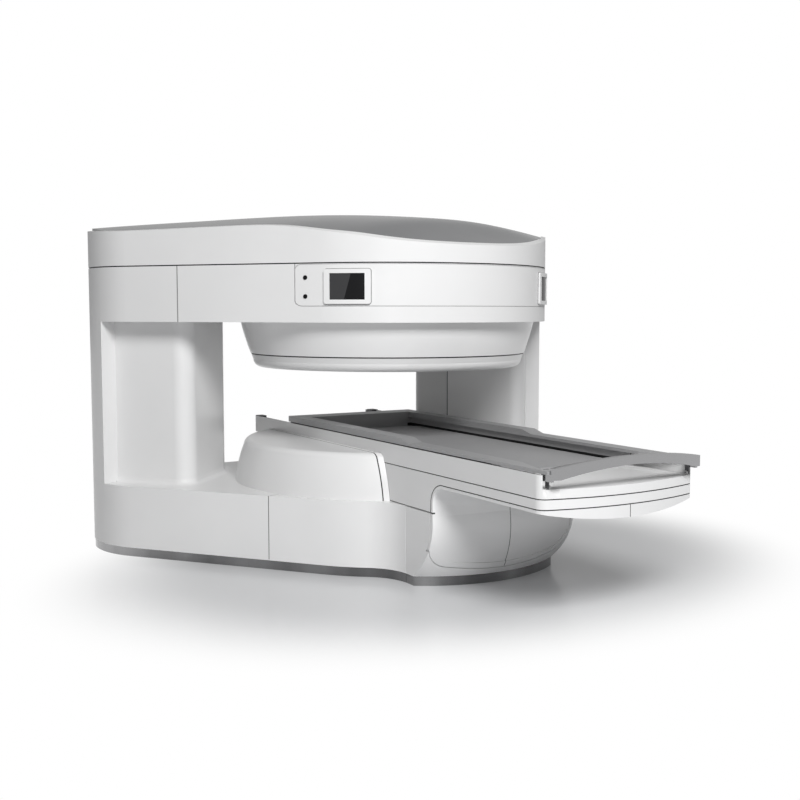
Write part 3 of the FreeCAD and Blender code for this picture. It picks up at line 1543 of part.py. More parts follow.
def build_end_rollers(body):
    body.AllowCompound = True
    centre = (S.end_roller_y, S.deck_top + S.end_roller_radius + S.rolling_gap)
    half = S.end_roller_width / 2
    for side in (-1, 1):
        x = S.end_roller_x * side
        pad_all(body, [circle(centre, S.end_roller_radius), circle(centre, S.running_clearance + 3)],
                x - half, x + half, "YZ_Plane")


def build_drive_bracket(body):
    """Arm that clamps the tray to the belt through the slot in the deck."""
    belt_top = S.pulley_z + S.pulley_radius + S.running_clearance + S.belt_thickness
    near = S.clamp_y - 15
    far = S.clamp_y + 15
    gap = S.rolling_gap
    side = S.belt_width / 2 + gap + 0.2
    pad(body, box(-8, near, 12, far), belt_top + gap, S.tray_floor)
    pad(body, box(side, near, 12, far), belt_top - S.belt_thickness - 4, belt_top + gap)
    pad(body, box(-8, near, 12, far), belt_top - S.belt_thickness - 4, belt_top - S.belt_thickness - gap)


# ---------------------------------------------------------------- assembly


def build_housing():
    pair(build_side_cover, "side_cover")
    build_rear_lower(piece("rear_lower_panel"))
    build_rear_upper(piece("rear_upper_panel"))
    front = new_body("band_front_wall")
    build_band_front(front)
    recess = new_body("panel_recess")
    panel_form(recess, S.panel_seam)
    holes = button_holes()
    left_holes = doc.addObject("Part::Mirroring", "button_holes_left")
    left_holes.Source = holes
    left_holes.Normal = (1, 0, 0)
    open_front = combine("Cut", "band_recessed", front, recess)
    open_front = combine("Cut", "band_right_holes", open_front, holes)
    pieces.append(combine("Cut", "band_front", open_front, left_holes))
    panel = new_body("panel_block")
    panel_form(panel, ZERO)
    panel = combine("Cut", "panel_right_holes", panel, holes)
    pieces.append(combine("Cut", "nose_panel", panel, left_holes))
    pair(build_display_bezel, "display_bezel")
    pair(build_display_screen, "display_screen")
    pair(lambda body: build_button(body, S.button_high), "upper_button")
    pair(lambda body: build_button(body, S.button_low), "lower_button")


def build_poles():
    build_upper_shroud(piece("upper_pole_shroud"))
    build_upper_cap(piece("upper_pole_cap"))
    pair(build_lower_cover, "lower_pole_cover")
    pair(build_lower_trim, "pole_trim")
    pair(build_column_cover, "column_cover")


def build_table():
    build_under_covers()
    build_upper_cover(piece("table_upper_cover"))
    build_end_caps(piece("guide_end_caps"))
    build_frame(piece("table_frame"))
    for row in range(3):
        build_roller(piece("support_roller_%d" % (row + 1)), row)
    build_pulley(piece("drive_pulley"), S.pulley_near_y, 50)
    build_pulley(piece("idler_pulley"), S.pulley_far_y, 30)
    build_belt(piece("drive_belt"))
    build_motor(piece("drive_motor"))


def build_carriage():
    build_tray(piece("tray_frame"))
    build_mat(piece("tray_mat"))
    build_handle(piece("tray_handle"))
    build_brackets(piece("handle_brackets"))
    build_end_rollers(piece("tray_end_rollers"))
    build_drive_bracket(piece("drive_bracket"))


def move_to_frame():
    """Move every piece from the magnet's axis to the middle of the footprint."""
    shift = -(S.handle_near_y + S.rear_y) / 2
    for item in pieces:
        if item.TypeId == "Part::Mirroring":
            continue
        placement = item.Placement
        placement.Base = FreeCAD.Vector(0, shift.value, 0)
        item.Placement = placement
        item.setExpression("Placement.Base.y", shift.formula)


def check_and_export():
    doc.recompute()
    faults = [item.Name for item in doc.Objects if "Invalid" in item.State or "Error" in item.State]
    if faults:
        raise RuntimeError("did not build: " + ", ".join(faults))
    for item in pieces:
        shape = item.Shape
        if shape.isNull() or not shape.isValid() or shape.Volume <= 0:
            raise RuntimeError("%s has no sound shape" % item.Label)
        shape.exportStep("parts/%s.step" % item.Label)


build_housing()
build_top()
build_poles()
build_stack()
build_skirt()
build_table()
build_carriage()
move_to_frame()
check_and_export()
print("pieces:", len(pieces))
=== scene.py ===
import bmesh
import bpy
import json
import math
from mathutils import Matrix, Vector


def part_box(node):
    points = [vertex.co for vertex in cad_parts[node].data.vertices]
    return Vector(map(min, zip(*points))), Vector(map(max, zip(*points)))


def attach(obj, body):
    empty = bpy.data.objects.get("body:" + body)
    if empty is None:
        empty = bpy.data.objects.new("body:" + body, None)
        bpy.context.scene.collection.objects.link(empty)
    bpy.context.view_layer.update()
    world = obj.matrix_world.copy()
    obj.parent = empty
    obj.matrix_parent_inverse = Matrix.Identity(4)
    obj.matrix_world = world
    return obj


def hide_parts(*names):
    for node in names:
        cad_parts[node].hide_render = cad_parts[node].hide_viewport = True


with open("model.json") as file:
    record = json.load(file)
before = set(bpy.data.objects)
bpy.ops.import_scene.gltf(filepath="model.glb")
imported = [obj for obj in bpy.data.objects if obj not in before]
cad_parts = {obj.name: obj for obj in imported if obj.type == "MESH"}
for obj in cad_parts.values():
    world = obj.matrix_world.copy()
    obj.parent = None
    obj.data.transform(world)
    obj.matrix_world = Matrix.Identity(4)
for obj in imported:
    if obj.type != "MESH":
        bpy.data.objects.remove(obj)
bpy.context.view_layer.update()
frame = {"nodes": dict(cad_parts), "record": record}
nodes = frame["nodes"]

# ---------------------------------------------------------------- materials


def shader(name):
    made = bpy.data.materials.new(name)
    made.use_nodes = True
    tree = made.node_tree
    return made, tree, tree.nodes["Principled BSDF"]


def noise(tree, scale, detail=3.0, stretch=(1, 1, 1)):
    """Noise in the object's own space, stretched along its axes."""
    place = tree.nodes.new("ShaderNodeTexCoord")
    mapping = tree.nodes.new("ShaderNodeMapping")
    mapping.inputs["Scale"].default_value = stretch
    texture = tree.nodes.new("ShaderNodeTexNoise")
    texture.inputs["Scale"].default_value = scale
    texture.inputs["Detail"].default_value = detail
    tree.links.new(place.outputs["Object"], mapping.inputs["Vector"])
    tree.links.new(mapping.outputs["Vector"], texture.inputs["Vector"])
    return texture.outputs["Fac"]


def ramp(tree, source, low, high, start=0.3, end=0.7):
    """Colour between low and high as the source goes from start to end."""
    made = tree.nodes.new("ShaderNodeValToRGB")
    made.color_ramp.elements[0].position = start
    made.color_ramp.elements[1].position = end
    made.color_ramp.elements[0].color = (*low, 1)
    made.color_ramp.elements[1].color = (*high, 1)
    tree.links.new(source, made.inputs["Fac"])
    return made.outputs["Color"]


def spread(tree, source, low, high, start=0.3, end=0.7):
    """A number from low to high as the source goes from start to end."""
    made = tree.nodes.new("ShaderNodeMapRange")
    for name, value in (("From Min", start), ("From Max", end), ("To Min", low), ("To Max", high)):
        made.inputs[name].default_value = value
    tree.links.new(source, made.inputs["Value"])
    return made.outputs["Result"]


def arithmetic(tree, operation, first, second):
    made = tree.nodes.new("ShaderNodeMath")
    made.operation = operation
    for socket, value in zip(made.inputs, (first, second)):
        if isinstance(value, (int, float)):
            socket.default_value = value
        else:
            tree.links.new(value, socket)
    return made.outputs[0]


def times(tree, first, second):
    return arithmetic(tree, "MULTIPLY", first, second)


def minus(tree, first, second):
    return arithmetic(tree, "SUBTRACT", first, second)


def magnitude(tree, value):
    return arithmetic(tree, "ABSOLUTE", value, 0)


def squares(tree, first, second):
    """The sum of the squares of two numbers."""
    return arithmetic(tree, "ADD", arithmetic(tree, "POWER", first, 2), arithmetic(tree, "POWER", second, 2))


def height(tree, axis="Z"):
    """The place along one of the object's own axes, in metres."""
    place = tree.nodes.new("ShaderNodeTexCoord")
    split = tree.nodes.new("ShaderNodeSeparateXYZ")
    tree.links.new(place.outputs["Object"], split.inputs[0])
    return split.outputs[axis]


def from_middle(tree):
    """How far a point lies from the plane between the left and the right half."""
    return magnitude(tree, height(tree, "X"))


def within(tree, source, low, high):
    """1 where the source lies between low and high, else 0."""
    above = arithmetic(tree, "GREATER_THAN", source, low)
    below = arithmetic(tree, "LESS_THAN", source, high)
    return times(tree, above, below)


def bump(tree, source, distance, strength=0.3):
    made = tree.nodes.new("ShaderNodeBump")
    made.inputs["Distance"].default_value = distance
    made.inputs["Strength"].default_value = strength
    tree.links.new(source, made.inputs["Height"])
    return made.outputs["Normal"]


def mix(tree, share, first, second):
    """The first colour where the share is 0 and the second where it is 1."""
    made = tree.nodes.new("ShaderNodeMix")
    made.data_type = "RGBA"
    tree.links.new(share, made.inputs["Factor"])
    tree.links.new(first, made.inputs["A"])
    made.inputs["B"].default_value = (*second, 1)
    return made.outputs["Result"]


# Each groove function makes a function that gives, in a material's tree, 1 inside the groove and 0 elsewhere:
# where shade is painted into the colour along seams, gaps and the feet of parts.


def level_groove(bottom, top):
    """A level groove between two heights."""
    return lambda tree: within(tree, height(tree), bottom, top)


def upright_groove(angle, bottom, top):
    """Upright grooves at one angle about the magnet's axis, on both sides."""
    turn = math.radians(angle)

    def share(tree):
        across = times(tree, from_middle(tree), math.sin(turn))
        along = times(tree, minus(tree, height(tree, "Y"), AXIS_Y), math.cos(turn))
        gap = within(tree, minus(tree, across, along), -LINE_HALF, LINE_HALF)
        return times(tree, gap, within(tree, height(tree), bottom, top))
    return share


def round_groove(inner, outer):
    """All that lies between two distances from the magnet's axis."""
    def share(tree):
        place = tree.nodes.new("ShaderNodeTexCoord")
        moved = tree.nodes.new("ShaderNodeVectorMath")
        moved.operation = "MULTIPLY_ADD"
        moved.inputs[1].default_value = (1, 1, 0)
        moved.inputs[2].default_value = (0, -AXIS_Y, 0)
        tree.links.new(place.outputs["Object"], moved.inputs[0])
        far = tree.nodes.new("ShaderNodeVectorMath")
        far.operation = "LENGTH"
        tree.links.new(moved.outputs[0], far.inputs[0])
        return within(tree, far.outputs["Value"], inner, outer)
    return share


def rounded(tree, across, upward, corner):
    """Distance outside a rounded corner, from how far past its two edges a point lies."""
    side = arithmetic(tree, "MAXIMUM", across, 0)
    up = arithmetic(tree, "MAXIMUM", upward, 0)
    return minus(tree, arithmetic(tree, "SQRT", squares(tree, side, up), 0), corner)


def panel_edge_shade():
    """Painted shade along the edge and the lower corners of the panel at the front of the housing."""
    def share(tree):
        across = minus(tree, from_middle(tree), PANEL_HALF - PANEL_CORNER)
        upward = minus(tree, PANEL_LOW + PANEL_CORNER, height(tree))
        ahead = arithmetic(tree, "LESS_THAN", height(tree, "Y"), AXIS_Y)
        edge = within(tree, rounded(tree, across, upward, PANEL_CORNER), -PANEL_OVERLAP, PANEL_GAP)
        return times(tree, edge, ahead)
    return share


def bezel_contact_shadow():
    """Painted contact shadow round the foot of each display's bezel."""
    def share(tree):
        ahead = minus(tree, AXIS_Y, height(tree, "Y"))
        angle = arithmetic(tree, "ARCTAN2", from_middle(tree), ahead)
        arc = times(tree, magnitude(tree, minus(tree, angle, math.radians(DISPLAY_ANGLE))), NOSE_RADIUS)
        across = minus(tree, arc, BEZEL_HALF[0] - BEZEL_CORNER)
        rise = magnitude(tree, minus(tree, height(tree), SCREEN_Z))
        upward = minus(tree, rise, BEZEL_HALF[1] - BEZEL_CORNER)
        return within(tree, rounded(tree, across, upward, BEZEL_CORNER), -BEZEL_OVERLAP, BEZEL_GAP)
    return share


def corner_groove(x, y, half):
    """One upright edge, and its twin on the other side."""
    def share(tree):
        across = minus(tree, from_middle(tree), x)
        along = minus(tree, height(tree, "Y"), y)
        return arithmetic(tree, "LESS_THAN", squares(tree, across, along), half * half)
    return share


def box_groove(across, bottom, top):
    """All that lies between two distances from the middle, and between two heights."""
    def share(tree):
        return times(tree, within(tree, from_middle(tree), *across), within(tree, height(tree), bottom, top))
    return share


def lip_seam_shade():
    """Painted shade in the seam along the table's overhang and round its throat, seen from the side."""
    def share(tree):
        along = minus(tree, height(tree, "Y"), AXIS_Y + LIP_CENTRE[0])
        upward = minus(tree, height(tree), LIP_CENTRE[1])
        line = within(tree, rounded(tree, along, upward, LIP_RADIUS), -LINE_HALF, LINE_HALF)
        return times(tree, line, within(tree, height(tree), LIP_BOTTOM, DECK_TOP))
    return share


def plastic(name, colour, cloud=0.012, rough=(0.28, 0.36), grain=900, depth=0.0002, coat=0.0,
            specular=0.5, grooves=(), shade=0.03):
    """Moulded and painted plastic: a faint cloud in the colour, a fine skin in the gloss."""
    made, tree, body = shader(name)
    low = tuple(max(0.0, c - cloud) for c in colour)
    high = tuple(min(1.0, c + cloud) for c in colour)
    tone = ramp(tree, noise(tree, CLOUD_SCALE), low, high)
    # painted shade: the colour darkens inside each groove
    for groove in grooves:
        tone = mix(tree, groove(tree), tone, (shade, shade, shade))
    tree.links.new(tone, body.inputs["Base Color"])
    fine = noise(tree, grain, 2.0)
    tree.links.new(spread(tree, fine, *rough), body.inputs["Roughness"])
    tree.links.new(bump(tree, fine, depth), body.inputs["Normal"])
    body.inputs["Specular IOR Level"].default_value = specular
    body.inputs["Coat Weight"].default_value = coat
    body.inputs["Coat Roughness"].default_value = COAT_ROUGHNESS
    return made


def metal(name, colour, rough=(0.25, 0.4), stretch=(1, 1, 60), scale=20, depth=0.0001, contrast=0.1,
          grooves=(), metallic=1.0):
    """Brushed metal with its grain along the axes that are stretched least."""
    made, tree, body = shader(name)
    grain = noise(tree, scale, 6.0, stretch)
    low = tuple(c * (1 - contrast) for c in colour)
    high = tuple(min(1.0, c * (1 + contrast)) for c in colour)
    tone = ramp(tree, grain, low, high)
    # painted shade: the colour darkens inside each groove
    for groove in grooves:
        tone = mix(tree, groove(tree), tone, METAL_SHADE)
    tree.links.new(tone, body.inputs["Base Color"])
    tree.links.new(spread(tree, grain, *rough), body.inputs["Roughness"])
    tree.links.new(bump(tree, grain, depth), body.inputs["Normal"])
    body.inputs["Metallic"].default_value = metallic
    return made


def display_glass():
    """Dark glass of a display that is off, with the slanting edge of a pale reflection painted into its colour.
    """
    made, tree, body = shader("screen")
    lean = times(tree, minus(tree, height(tree), SCREEN_Z), SCREEN_LEAN)
    slant = minus(tree, from_middle(tree), SCREEN_X)
    # painted reflection: paler on one side of a slanting line
    pale = arithmetic(tree, "GREATER_THAN", arithmetic(tree, "ADD", slant, lean), 0)
    tone = ramp(tree, noise(tree, 6.0), (0.010, 0.010, 0.011), (0.014, 0.014, 0.015))
    tree.links.new(mix(tree, pale, tone, (0.050, 0.050, 0.052)), body.inputs["Base Color"])
    fine = noise(tree, 400, 2.0)
    tree.links.new(spread(tree, fine, 0.05, 0.08), body.inputs["Roughness"])
    body.inputs["Specular IOR Level"].default_value = 0.12
    return made


def vinyl():
    """Grained covering of the mat, welded at its rim."""
    made, tree, body = shader("mat_vinyl")
    tone = ramp(tree, noise(tree, 2.5), (0.300, 0.300, 0.305), (0.330, 0.330, 0.335))
    tree.links.new(tone, body.inputs["Base Color"])
    cells = tree.nodes.new("ShaderNodeTexVoronoi")
    cells.inputs["Scale"].default_value = VINYL_CELLS
    place = tree.nodes.new("ShaderNodeTexCoord")
    tree.links.new(place.outputs["Object"], cells.inputs["Vector"])
    tree.links.new(spread(tree, cells.outputs["Distance"], 0.46, 0.60, 0.0, 0.8), body.inputs["Roughness"])
    tree.links.new(bump(tree, cells.outputs["Distance"], 0.0004, 0.5), body.inputs["Normal"])
    body.inputs["Sheen Weight"].default_value = 0.08
    return made


# places and sizes in metres, angles in degrees
AXIS_Y = 0.530  # the magnet's upright axis
NOSE_RADIUS = 0.861  # rounded front of the housing
DISPLAY_ANGLE = 42.8  # from the front to the middle of each display
BEZEL_HALF = (0.1142, 0.0825)  # half the width and half the height of a bezel
BEZEL_CORNER = 0.012
BEZEL_OVERLAP = 0.001  # how far the painted shadow round a bezel reaches under it
BEZEL_GAP = 0.0035  # and how far it reaches out
BEZEL_RING = (0.86, 0.8632)  # distances from the axis, at the foot of a bezel, where a ring of shadow is painted
PANEL_HALF = 0.7600  # half the width of the panel at the front
PANEL_LOW = 1.3050  # its lower edge
PANEL_CORNER = 0.025
PANEL_OVERLAP = 0.0003
PANEL_GAP = 0.0024
COLUMN_EDGE = (0.7558, AXIS_Y + 0.5447)  # inner edge of a column cover, where a line of shade is painted
COLUMN_EDGE_HALF = 0.003
SCREEN_X = 0.589  # where the edge of the painted reflection crosses the middle of each screen
SCREEN_Z = 1.3965
SCREEN_LEAN = 0.2  # and how much it leans
LIP_CENTRE = (-1.189, 0.415)  # of the arc round the table's throat: y from the axis, and z
LIP_RADIUS = 0.092
LIP_BOTTOM = 0.353
DECK_TOP = 0.588
LINE_HALF = 0.0022  # half the width of a painted seam
POLE_SEAM_TOP = 1.0562  # top of the painted shade in the ring gap between the upper pole's cap and its shroud
CAP_SEAM_SHADE = level_groove(1.0498, POLE_SEAM_TOP)
SHROUD_SEAM_SHADE = level_groove(1.05, POLE_SEAM_TOP)
TRIM_SEAM_SHADE = box_groove((0.4368, 0.4418), 0, 1)  # painted shade in the seam between the lower pole's cover and its trim
DECK_SEAM_SHADE = box_groove((0.396, 0.4068), 0.6455, 0.65)  # painted shade along the top of each guide
UPPER_SEAM_SHADE = level_groove(0.5468, 0.5512)  # painted shade in the groove between the deck and the table below it
# painted shade in the seams of the table
TABLE_SEAM_SHADE = (
    UPPER_SEAM_SHADE,
    lip_seam_shade(),
    box_groove((0.3975, 0.5), 0.366, 0.3735),  # where the table's side meets the base
    box_groove((-1, 0.0017), 0, 0.505),  # between the right and the left panel
)
RAIL_SEAM_SHADOWS = (
    box_groove((0.385, 0.395), 0.60, 0.6504),  # painted shadow under the overhang of the rail
    box_groove((0.316, 0.3405), 0.5, 0.616),  # painted shade in the gap between the rail and the mat
)
# painted shade along the upright seams of the housing
HOUSING_SEAM_SHADE = (
    upright_groove(-19.6, 0.05, 0.37),  # in the base
    upright_groove(4.3, 1.22, 1.51),  # in the band round the top
)

WHITE = (0.80, 0.80, 0.80)
METAL_SHADE = (0.006, 0.006, 0.006)
COAT_ROUGHNESS = 0.12
CLOUD_SCALE = 3.0
VINYL_CELLS = 420

# by the slot that the record names
MATERIALS = {
    "white_cover": plastic("white_cover", WHITE, coat=0.15, grooves=HOUSING_SEAM_SHADE, shade=0.25),
    "panel_grey": plastic("panel_grey", WHITE, rough=(0.3, 0.4), coat=0.1,
                          grooves=(bezel_contact_shadow(),), shade=0.3),
    "crown_grey": plastic("crown_grey", (0.17, 0.172, 0.176), rough=(0.3, 0.42), coat=0.7),
    "pole_cap_white": plastic("pole_cap_white", (0.76, 0.76, 0.76), grooves=(CAP_SEAM_SHADE,), shade=0.01),
    # painted shadow ring at the foot of the bezel
    "bezel": plastic("bezel", (0.82, 0.82, 0.82), rough=(0.3, 0.4), grooves=(round_groove(*BEZEL_RING),),
                     shade=0.25),
    "screen": display_glass(),
    "button_black": plastic("button_black", (0.008, 0.008, 0.009), cloud=0.003, specular=0.1),
    "seal_black": plastic("seal_black", (0.012, 0.012, 0.014), cloud=0.004, rough=(0.5, 0.7), specular=0.2),
    # broad light and dark streaks: partly brushed grain, partly painted reflection
    "skirt_steel": metal("skirt_steel", (0.22, 0.22, 0.223), rough=(0.14, 0.22), stretch=(1, 1, 0.05),
                         scale=1.8, contrast=0.65),
    "yoke_iron": plastic("yoke_iron", (0.16, 0.17, 0.19), rough=(0.4, 0.55)),
    "pole_iron": metal("pole_iron", (0.35, 0.35, 0.36)),
    "magnet_block": metal("magnet_block", (0.25, 0.25, 0.26), rough=(0.4, 0.6)),
    "coil_resin": plastic("coil_resin", (0.5, 0.38, 0.15), cloud=0.05, rough=(0.4, 0.6), grain=200),
    "foot_steel": metal("foot_steel", (0.5, 0.5, 0.52)),
    "cap_black": plastic("cap_black", (0.09, 0.09, 0.095), cloud=0.01, rough=(0.4, 0.55)),
    "frame_alloy": metal("frame_alloy", (0.30, 0.30, 0.305)),
    "roller_grey": plastic("roller_grey", (0.6, 0.6, 0.6), rough=(0.4, 0.5)),
    "pulley_alloy": metal("pulley_alloy", (0.5, 0.5, 0.52)),
    "belt_black": plastic("belt_black", (0.02, 0.02, 0.02), cloud=0.005, rough=(0.6, 0.8)),
    "motor_grey": plastic("motor_grey", (0.08, 0.085, 0.09), rough=(0.4, 0.5)),
    "tray_grey": metal("tray_grey", (0.37, 0.37, 0.375), rough=(0.34, 0.44), stretch=(60, 1, 60),
                       depth=0.00002, contrast=0.03, grooves=RAIL_SEAM_SHADOWS, metallic=0.2),
    "mat_grey": vinyl(),
}

# by node, where a piece has painted seam shade of its own or differs from its slot
OWN = {
    "tray_handle": metal("handle_alloy", (0.35, 0.35, 0.355), rough=(0.20, 0.24), stretch=(1, 60, 60),
                         depth=0.00002, contrast=0.03),
    "table_middle_cover": plastic("table_white", WHITE, coat=0.15, grooves=TABLE_SEAM_SHADE),
    "table_upper_cover": plastic("deck_white", WHITE, coat=0.15, grooves=(UPPER_SEAM_SHADE, DECK_SEAM_SHADE)),
    "right_pole_trim": plastic("pole_white", WHITE, coat=0.15, grooves=(TRIM_SEAM_SHADE,)),
    "band_front": plastic("band_white", WHITE, coat=0.15, grooves=(*HOUSING_SEAM_SHADE, panel_edge_shade()),
                          shade=0.25),
    "upper_pole_shroud": plastic("shroud_white", WHITE, coat=0.15, grooves=(SHROUD_SEAM_SHADE,), shade=0.01),
    "handle_brackets": plastic("bracket_grey", (0.10, 0.10, 0.105), cloud=0.006, rough=(0.4, 0.5)),
}
# painted shade along the inner upright edge of each column cover
for name in ("right_column_cover", "left_column_cover"):
    OWN[name] = plastic("column_white", WHITE, coat=0.15, shade=0.08,
                        grooves=(corner_groove(*COLUMN_EDGE, COLUMN_EDGE_HALF),))
for name in ("right_belly_cover", "left_belly_cover"):
    OWN[name] = OWN["table_middle_cover"]
for name in ("left_pole_trim", "right_lower_pole_cover", "left_lower_pole_cover"):
    OWN[name] = OWN["right_pole_trim"]

for part in frame["record"]["subparts"]:
    node = nodes[part["node"]]
    node.data.materials.clear()
    node.data.materials.append(OWN.get(part["node"], MATERIALS[part["material_slot"]]))

# ---------------------------------------------------------------- mat

MAT_CORNER = 0.088  # rounding at the far end
MAT_NEAR_CORNER = 0.012
MAT_CORNER_LEAST = 0.002
MAT_RISE = 0.0035  # crown
MAT_END_POWER = 6  # how level the crown stays towards the ends
MAT_CROWN_POWER = 0.6
MAT_SIDE = 0.009  # gap to each rail
MAT_WAIST = 0.006  # share of its width by which the mat is drawn in half way along
MAT_STEP = 0.04
ARC_STEPS = 8
TINY = 1e-6
# rim of the mat, from the floor up: how far in from the outline, and height as a share of its own
MAT_RIM = ((0.0025, 0), (0.0006, 0.12), (0, 0.35), (0.0004, 0.6), (0.0018, 0.82), (0.0045, 0.96),
           (0.009, 1.0), (0.0125, 0.97), (0.014, 0.88), (0.0155, 0.97), (0.019, 1.0))
# welded cross seams, seen faintly across the mat, and how far a seam sinks
MAT_SEAMS = (-0.110,)
SEAM_HALF = 0.004
SEAM_DEPTH = 0.0012


def mat_outline(low, high, inset):
    """Outline of the mat: nearly square at the near end, rounded at the far end."""
    left, right = low[0] + inset, high[0] - inset
    near, far = low[1] + inset, high[1] - inset
    corners = ((right, near, MAT_NEAR_CORNER, -90), (right, far, MAT_CORNER, 0),
               (left, far, MAT_CORNER, 90), (left, near, MAT_NEAR_CORNER, 180))
    points = []
    for x, y, full, start in corners:
        radius = max(full - inset, MAT_CORNER_LEAST)
        centre_x = x - radius if x > 0 else x + radius
        centre_y = y + radius if y == near else y - radius
        for step in range(ARC_STEPS + 1):
            turn = math.radians(start + step * 90 / ARC_STEPS)
            points.append((centre_x + radius * math.cos(turn), centre_y + radius * math.sin(turn)))
    return points


def build_mat():
    """The mat as rings from its underside to its welded rim, with a crowned top cut into a grid."""
    low, high = (list(corner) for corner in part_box("tray_mat"))
    low[0] += MAT_SIDE
    high[0] -= MAT_SIDE
    thick = high[2] - low[2]
    mesh = bmesh.new()
    rings = []
    for inset, share in MAT_RIM:
        level = low[2] + thick * share
        rings.append([mesh.verts.new((x, y, level)) for x, y in mat_outline(low, high, inset)])
    for lower, upper in zip(rings, rings[1:]):
        for index in range(len(lower)):
            after = (index + 1) % len(lower)
            mesh.faces.new((lower[index], lower[after], upper[after], upper[index]))
    mesh.faces.new(list(reversed(rings[0])))
    top = mesh.faces.new(rings[-1])
    cuts = []
    for axis, normal in enumerate(((1, 0, 0), (0, 1, 0))):
        span = high[axis] - low[axis]
        steps = int(span / MAT_STEP)
        cuts += [(tuple(n * (low[axis] + span * i / steps) for n in normal), normal) for i in range(1, steps)]
    for seam in MAT_SEAMS:
        cuts += [((0, seam + SEAM_HALF * side, 0), (0, 1, 0)) for side in (-2, -1, 0, 1, 2)]
    faces = [top]
    for place, normal in cuts:
        edges = {edge for face in faces for edge in face.edges}
        verts = {vert for face in faces for vert in face.verts}
        made = bmesh.ops.bisect_plane(mesh, geom=list(faces) + list(edges) + list(verts), dist=TINY,
                                      plane_co=place, plane_no=normal)
        faces = {item for item in made["geom"] if isinstance(item, bmesh.types.BMFace)}
    half_x = (high[0] - low[0]) / 2
    middle_y = (low[1] + high[1]) / 2
    half_y = (high[1] - low[1]) / 2
    for vert in mesh.verts:
        across = max(0.0, 1 - (vert.co.x / half_x) ** 2)
        along = max(0.0, 1 - ((vert.co.y - middle_y) / half_y) ** MAT_END_POWER)
        lift = (vert.co.z - low[2]) / thick
        vert.co.z += MAT_RISE * (across * along) ** MAT_CROWN_POWER * lift
        for seam in MAT_SEAMS:
            near = abs(vert.co.y - seam) / (SEAM_HALF * 2)
            if near < 1:
                vert.co.z -= SEAM_DEPTH * (1 - near) * lift
        vert.co.x *= 1 - MAT_WAIST * max(0.0, 1 - ((vert.co.y - middle_y) / half_y) ** 2)
    mesh.normal_update()
    data = bpy.data.meshes.new("mat")
    mesh.to_mesh(data)
    mesh.free()
    for polygon in data.polygons:
        polygon.use_smooth = True
    piece = bpy.data.objects.new("mat", data)
    bpy.context.scene.collection.objects.link(piece)
    data.materials.append(MATERIALS["mat_grey"])
    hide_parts("tray_mat")
    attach(piece, "tray")


build_mat()

# ---------------------------------------------------------------- far end of the deck

# the opening between the end caps of the guides, where the photograph shows no wall
OPEN_HALF = 0.364
OPEN_FROM_Y = AXIS_Y + 0.880
SHARP_ANGLE = 25  # degrees


def box_mesh(name, low, high):
    """A box for cutting, which doesn't stay in the scene."""
    mesh = bmesh.new()
    bmesh.ops.create_cube(mesh, size=1)
    for vert in mesh.verts:
        for axis in range(3):
            vert.co[axis] = high[axis] if vert.co[axis] > 0 else low[axis]
    data = bpy.data.meshes.new(name)
    mesh.to_mesh(data)
    mesh.free()
    return bpy.data.objects.new(name, data)


def open_far_end():
    """The table's upper cover with its deck open at the far end."""
    piece = bpy.data.objects.new("table_deck_cover", nodes["table_upper_cover"].data.copy())
    cutter = box_mesh("cutter", (-OPEN_HALF, OPEN_FROM_Y, DECK_TOP), (OPEN_HALF, OPEN_FROM_Y + 1, DECK_TOP + 1))
    for made in (piece, cutter):
        bpy.context.scene.collection.objects.link(made)
    carve = piece.modifiers.new("open", "BOOLEAN")
    carve.operation = "DIFFERENCE"
    carve.solver = "EXACT"
    carve.object = cutter
    bpy.context.view_layer.update()
    carved = bpy.data.meshes.new_from_object(piece.evaluated_get(bpy.context.evaluated_depsgraph_get()))
    piece.modifiers.clear()
    piece.data = carved
    bpy.data.objects.remove(cutter)
    for polygon in carved.polygons:
        polygon.use_smooth = True
        polygon.material_index = 0
    carved.set_sharp_from_angle(angle=math.radians(SHARP_ANGLE))
    while len(carved.materials) > 1:
        carved.materials.pop(index=len(carved.materials) - 1)
    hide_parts("table_upper_cover")
    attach(piece, "scanner")


open_far_end()

# ---------------------------------------------------------------- camera, light and floor

GLOSS_SHARE = 0.4  # how much of the white world round the scanner its reflections see
WORLD_LEVEL = 0.17
FLOOR_HALF = 30
FLOOR_ROUGHNESS = 0.22
FADE = (0.85, 1.75)  # where the floor starts and ends turning into white paper
FADE_OVAL = (0.8, 1, 1)  # by which the distance from the middle is measured
LAMPS = (  # name, place, aim, width and height, watts
    ("key", (-2.15, -5.8, 5.0), (0, 0.2, 0.9), (3.0, 2.2), 455),
    ("fill", (-3.6, -6.0, 1.3), (0, 0, 0.8), (1.6, 1.2), 10),
)
CAMERA_PLACE = (-2.9745, -4.6002, 1.2793)
CAMERA_PITCH = 4.7459
CAMERA_YAW = 30.7831
LENS = 48.12

camera = bpy.data.objects.new("camera", bpy.data.cameras.new("camera"))
camera.data.lens = LENS
camera.data.sensor_width = 36.0
camera.data.clip_end = 60
camera.location = CAMERA_PLACE
camera.rotation_euler = (math.radians(90 - CAMERA_PITCH), 0, math.radians(-CAMERA_YAW))
bpy.context.scene.collection.objects.link(camera)
bpy.context.scene.camera = camera


def lamp(name, place, target, size, power):
    data = bpy.data.lights.new(name, "AREA")
    data.shape = "RECTANGLE"
    data.size = size[0]
    data.size_y = size[1]
    data.energy = power
    made = bpy.data.objects.new(name, data)
    made.location = place
    made.rotation_euler = (Vector(target) - Vector(place)).to_track_quat("-Z", "Y").to_euler()
    bpy.context.scene.collection.objects.link(made)


for setting in LAMPS:
    lamp(*setting)

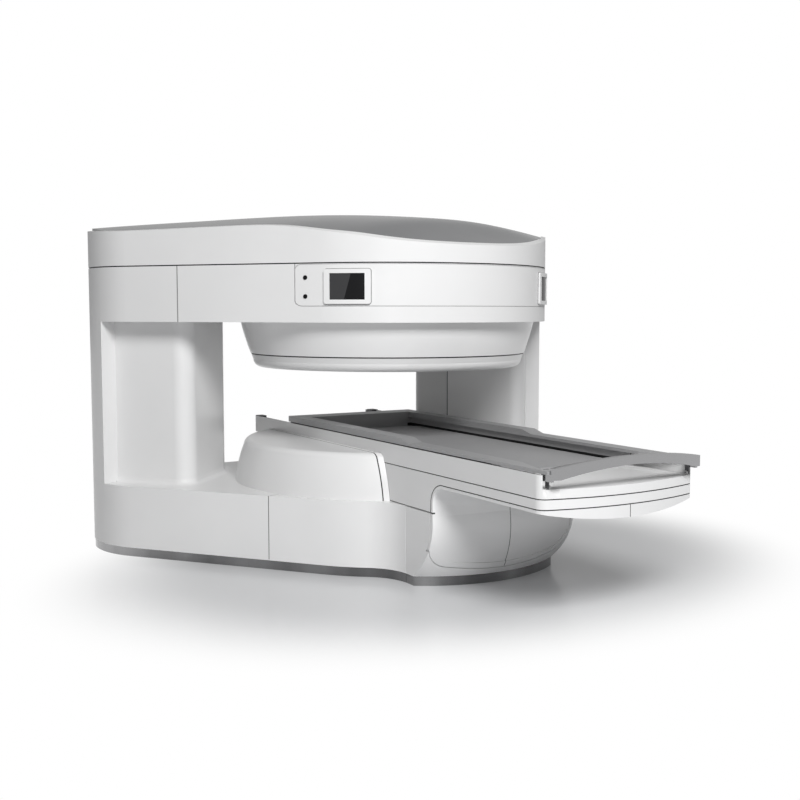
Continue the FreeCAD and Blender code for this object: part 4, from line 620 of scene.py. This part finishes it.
floor_mesh = bpy.data.meshes.new("floor")
corners = [(x * FLOOR_HALF, y * FLOOR_HALF, 0) for x, y in ((-1, -1), (1, -1), (1, 1), (-1, 1))]
floor_mesh.from_pydata(corners, [], [(0, 1, 2, 3)])
floor = bpy.data.objects.new("floor", floor_mesh)
bpy.context.scene.collection.objects.link(floor)
floor_material, tree, body = shader("floor")
tone = ramp(tree, noise(tree, 0.6), (0.68, 0.685, 0.695), (0.71, 0.715, 0.725))
tree.links.new(tone, body.inputs["Base Color"])
body.inputs["Roughness"].default_value = FLOOR_ROUGHNESS
place = tree.nodes.new("ShaderNodeTexCoord")
oval = tree.nodes.new("ShaderNodeVectorMath")
oval.operation = "MULTIPLY"
oval.inputs[1].default_value = FADE_OVAL
reach = tree.nodes.new("ShaderNodeVectorMath")
reach.operation = "LENGTH"
tree.links.new(place.outputs["Object"], oval.inputs[0])
tree.links.new(oval.outputs[0], reach.inputs[0])
away = tree.nodes.new("ShaderNodeMapRange")
away.interpolation_type = "SMOOTHERSTEP"
away.inputs["From Min"].default_value = FADE[0]
away.inputs["From Max"].default_value = FADE[1]
tree.links.new(reach.outputs["Value"], away.inputs["Value"])
paper = tree.nodes.new("ShaderNodeEmission")
paper.inputs["Color"].default_value = (1, 1, 1, 1)
paper.inputs["Strength"].default_value = 1.0
rays = tree.nodes.new("ShaderNodeLightPath")
seen = arithmetic(tree, "MAXIMUM", rays.outputs["Is Camera Ray"], rays.outputs["Is Glossy Ray"])
ground = tree.nodes.new("ShaderNodeMixShader")
tree.links.new(times(tree, away.outputs["Result"], seen), ground.inputs[0])
tree.links.new(body.outputs[0], ground.inputs[1])
tree.links.new(paper.outputs[0], ground.inputs[2])
tree.links.new(ground.outputs[0], tree.nodes["Material Output"].inputs["Surface"])
floor_mesh.materials.append(floor_material)

world = bpy.data.worlds.new("world")
bpy.context.scene.world = world
world.use_nodes = True
tree = world.node_tree
background = tree.nodes["Background"]
background.inputs["Color"].default_value = (1, 1, 1, 1)
background.inputs["Strength"].default_value = WORLD_LEVEL
backdrop = tree.nodes.new("ShaderNodeBackground")
backdrop.inputs["Color"].default_value = (1, 1, 1, 1)
backdrop.inputs["Strength"].default_value = 1.0
rays = tree.nodes.new("ShaderNodeLightPath")
seen = arithmetic(tree, "MAXIMUM", rays.outputs["Is Camera Ray"],
                  times(tree, rays.outputs["Is Glossy Ray"], GLOSS_SHARE))
both = tree.nodes.new("ShaderNodeMixShader")
tree.links.new(seen, both.inputs[0])
tree.links.new(background.outputs[0], both.inputs[1])
tree.links.new(backdrop.outputs[0], both.inputs[2])
tree.links.new(both.outputs[0], tree.nodes["World Output"].inputs["Surface"])

bpy.context.scene.view_settings.view_transform = "Standard"
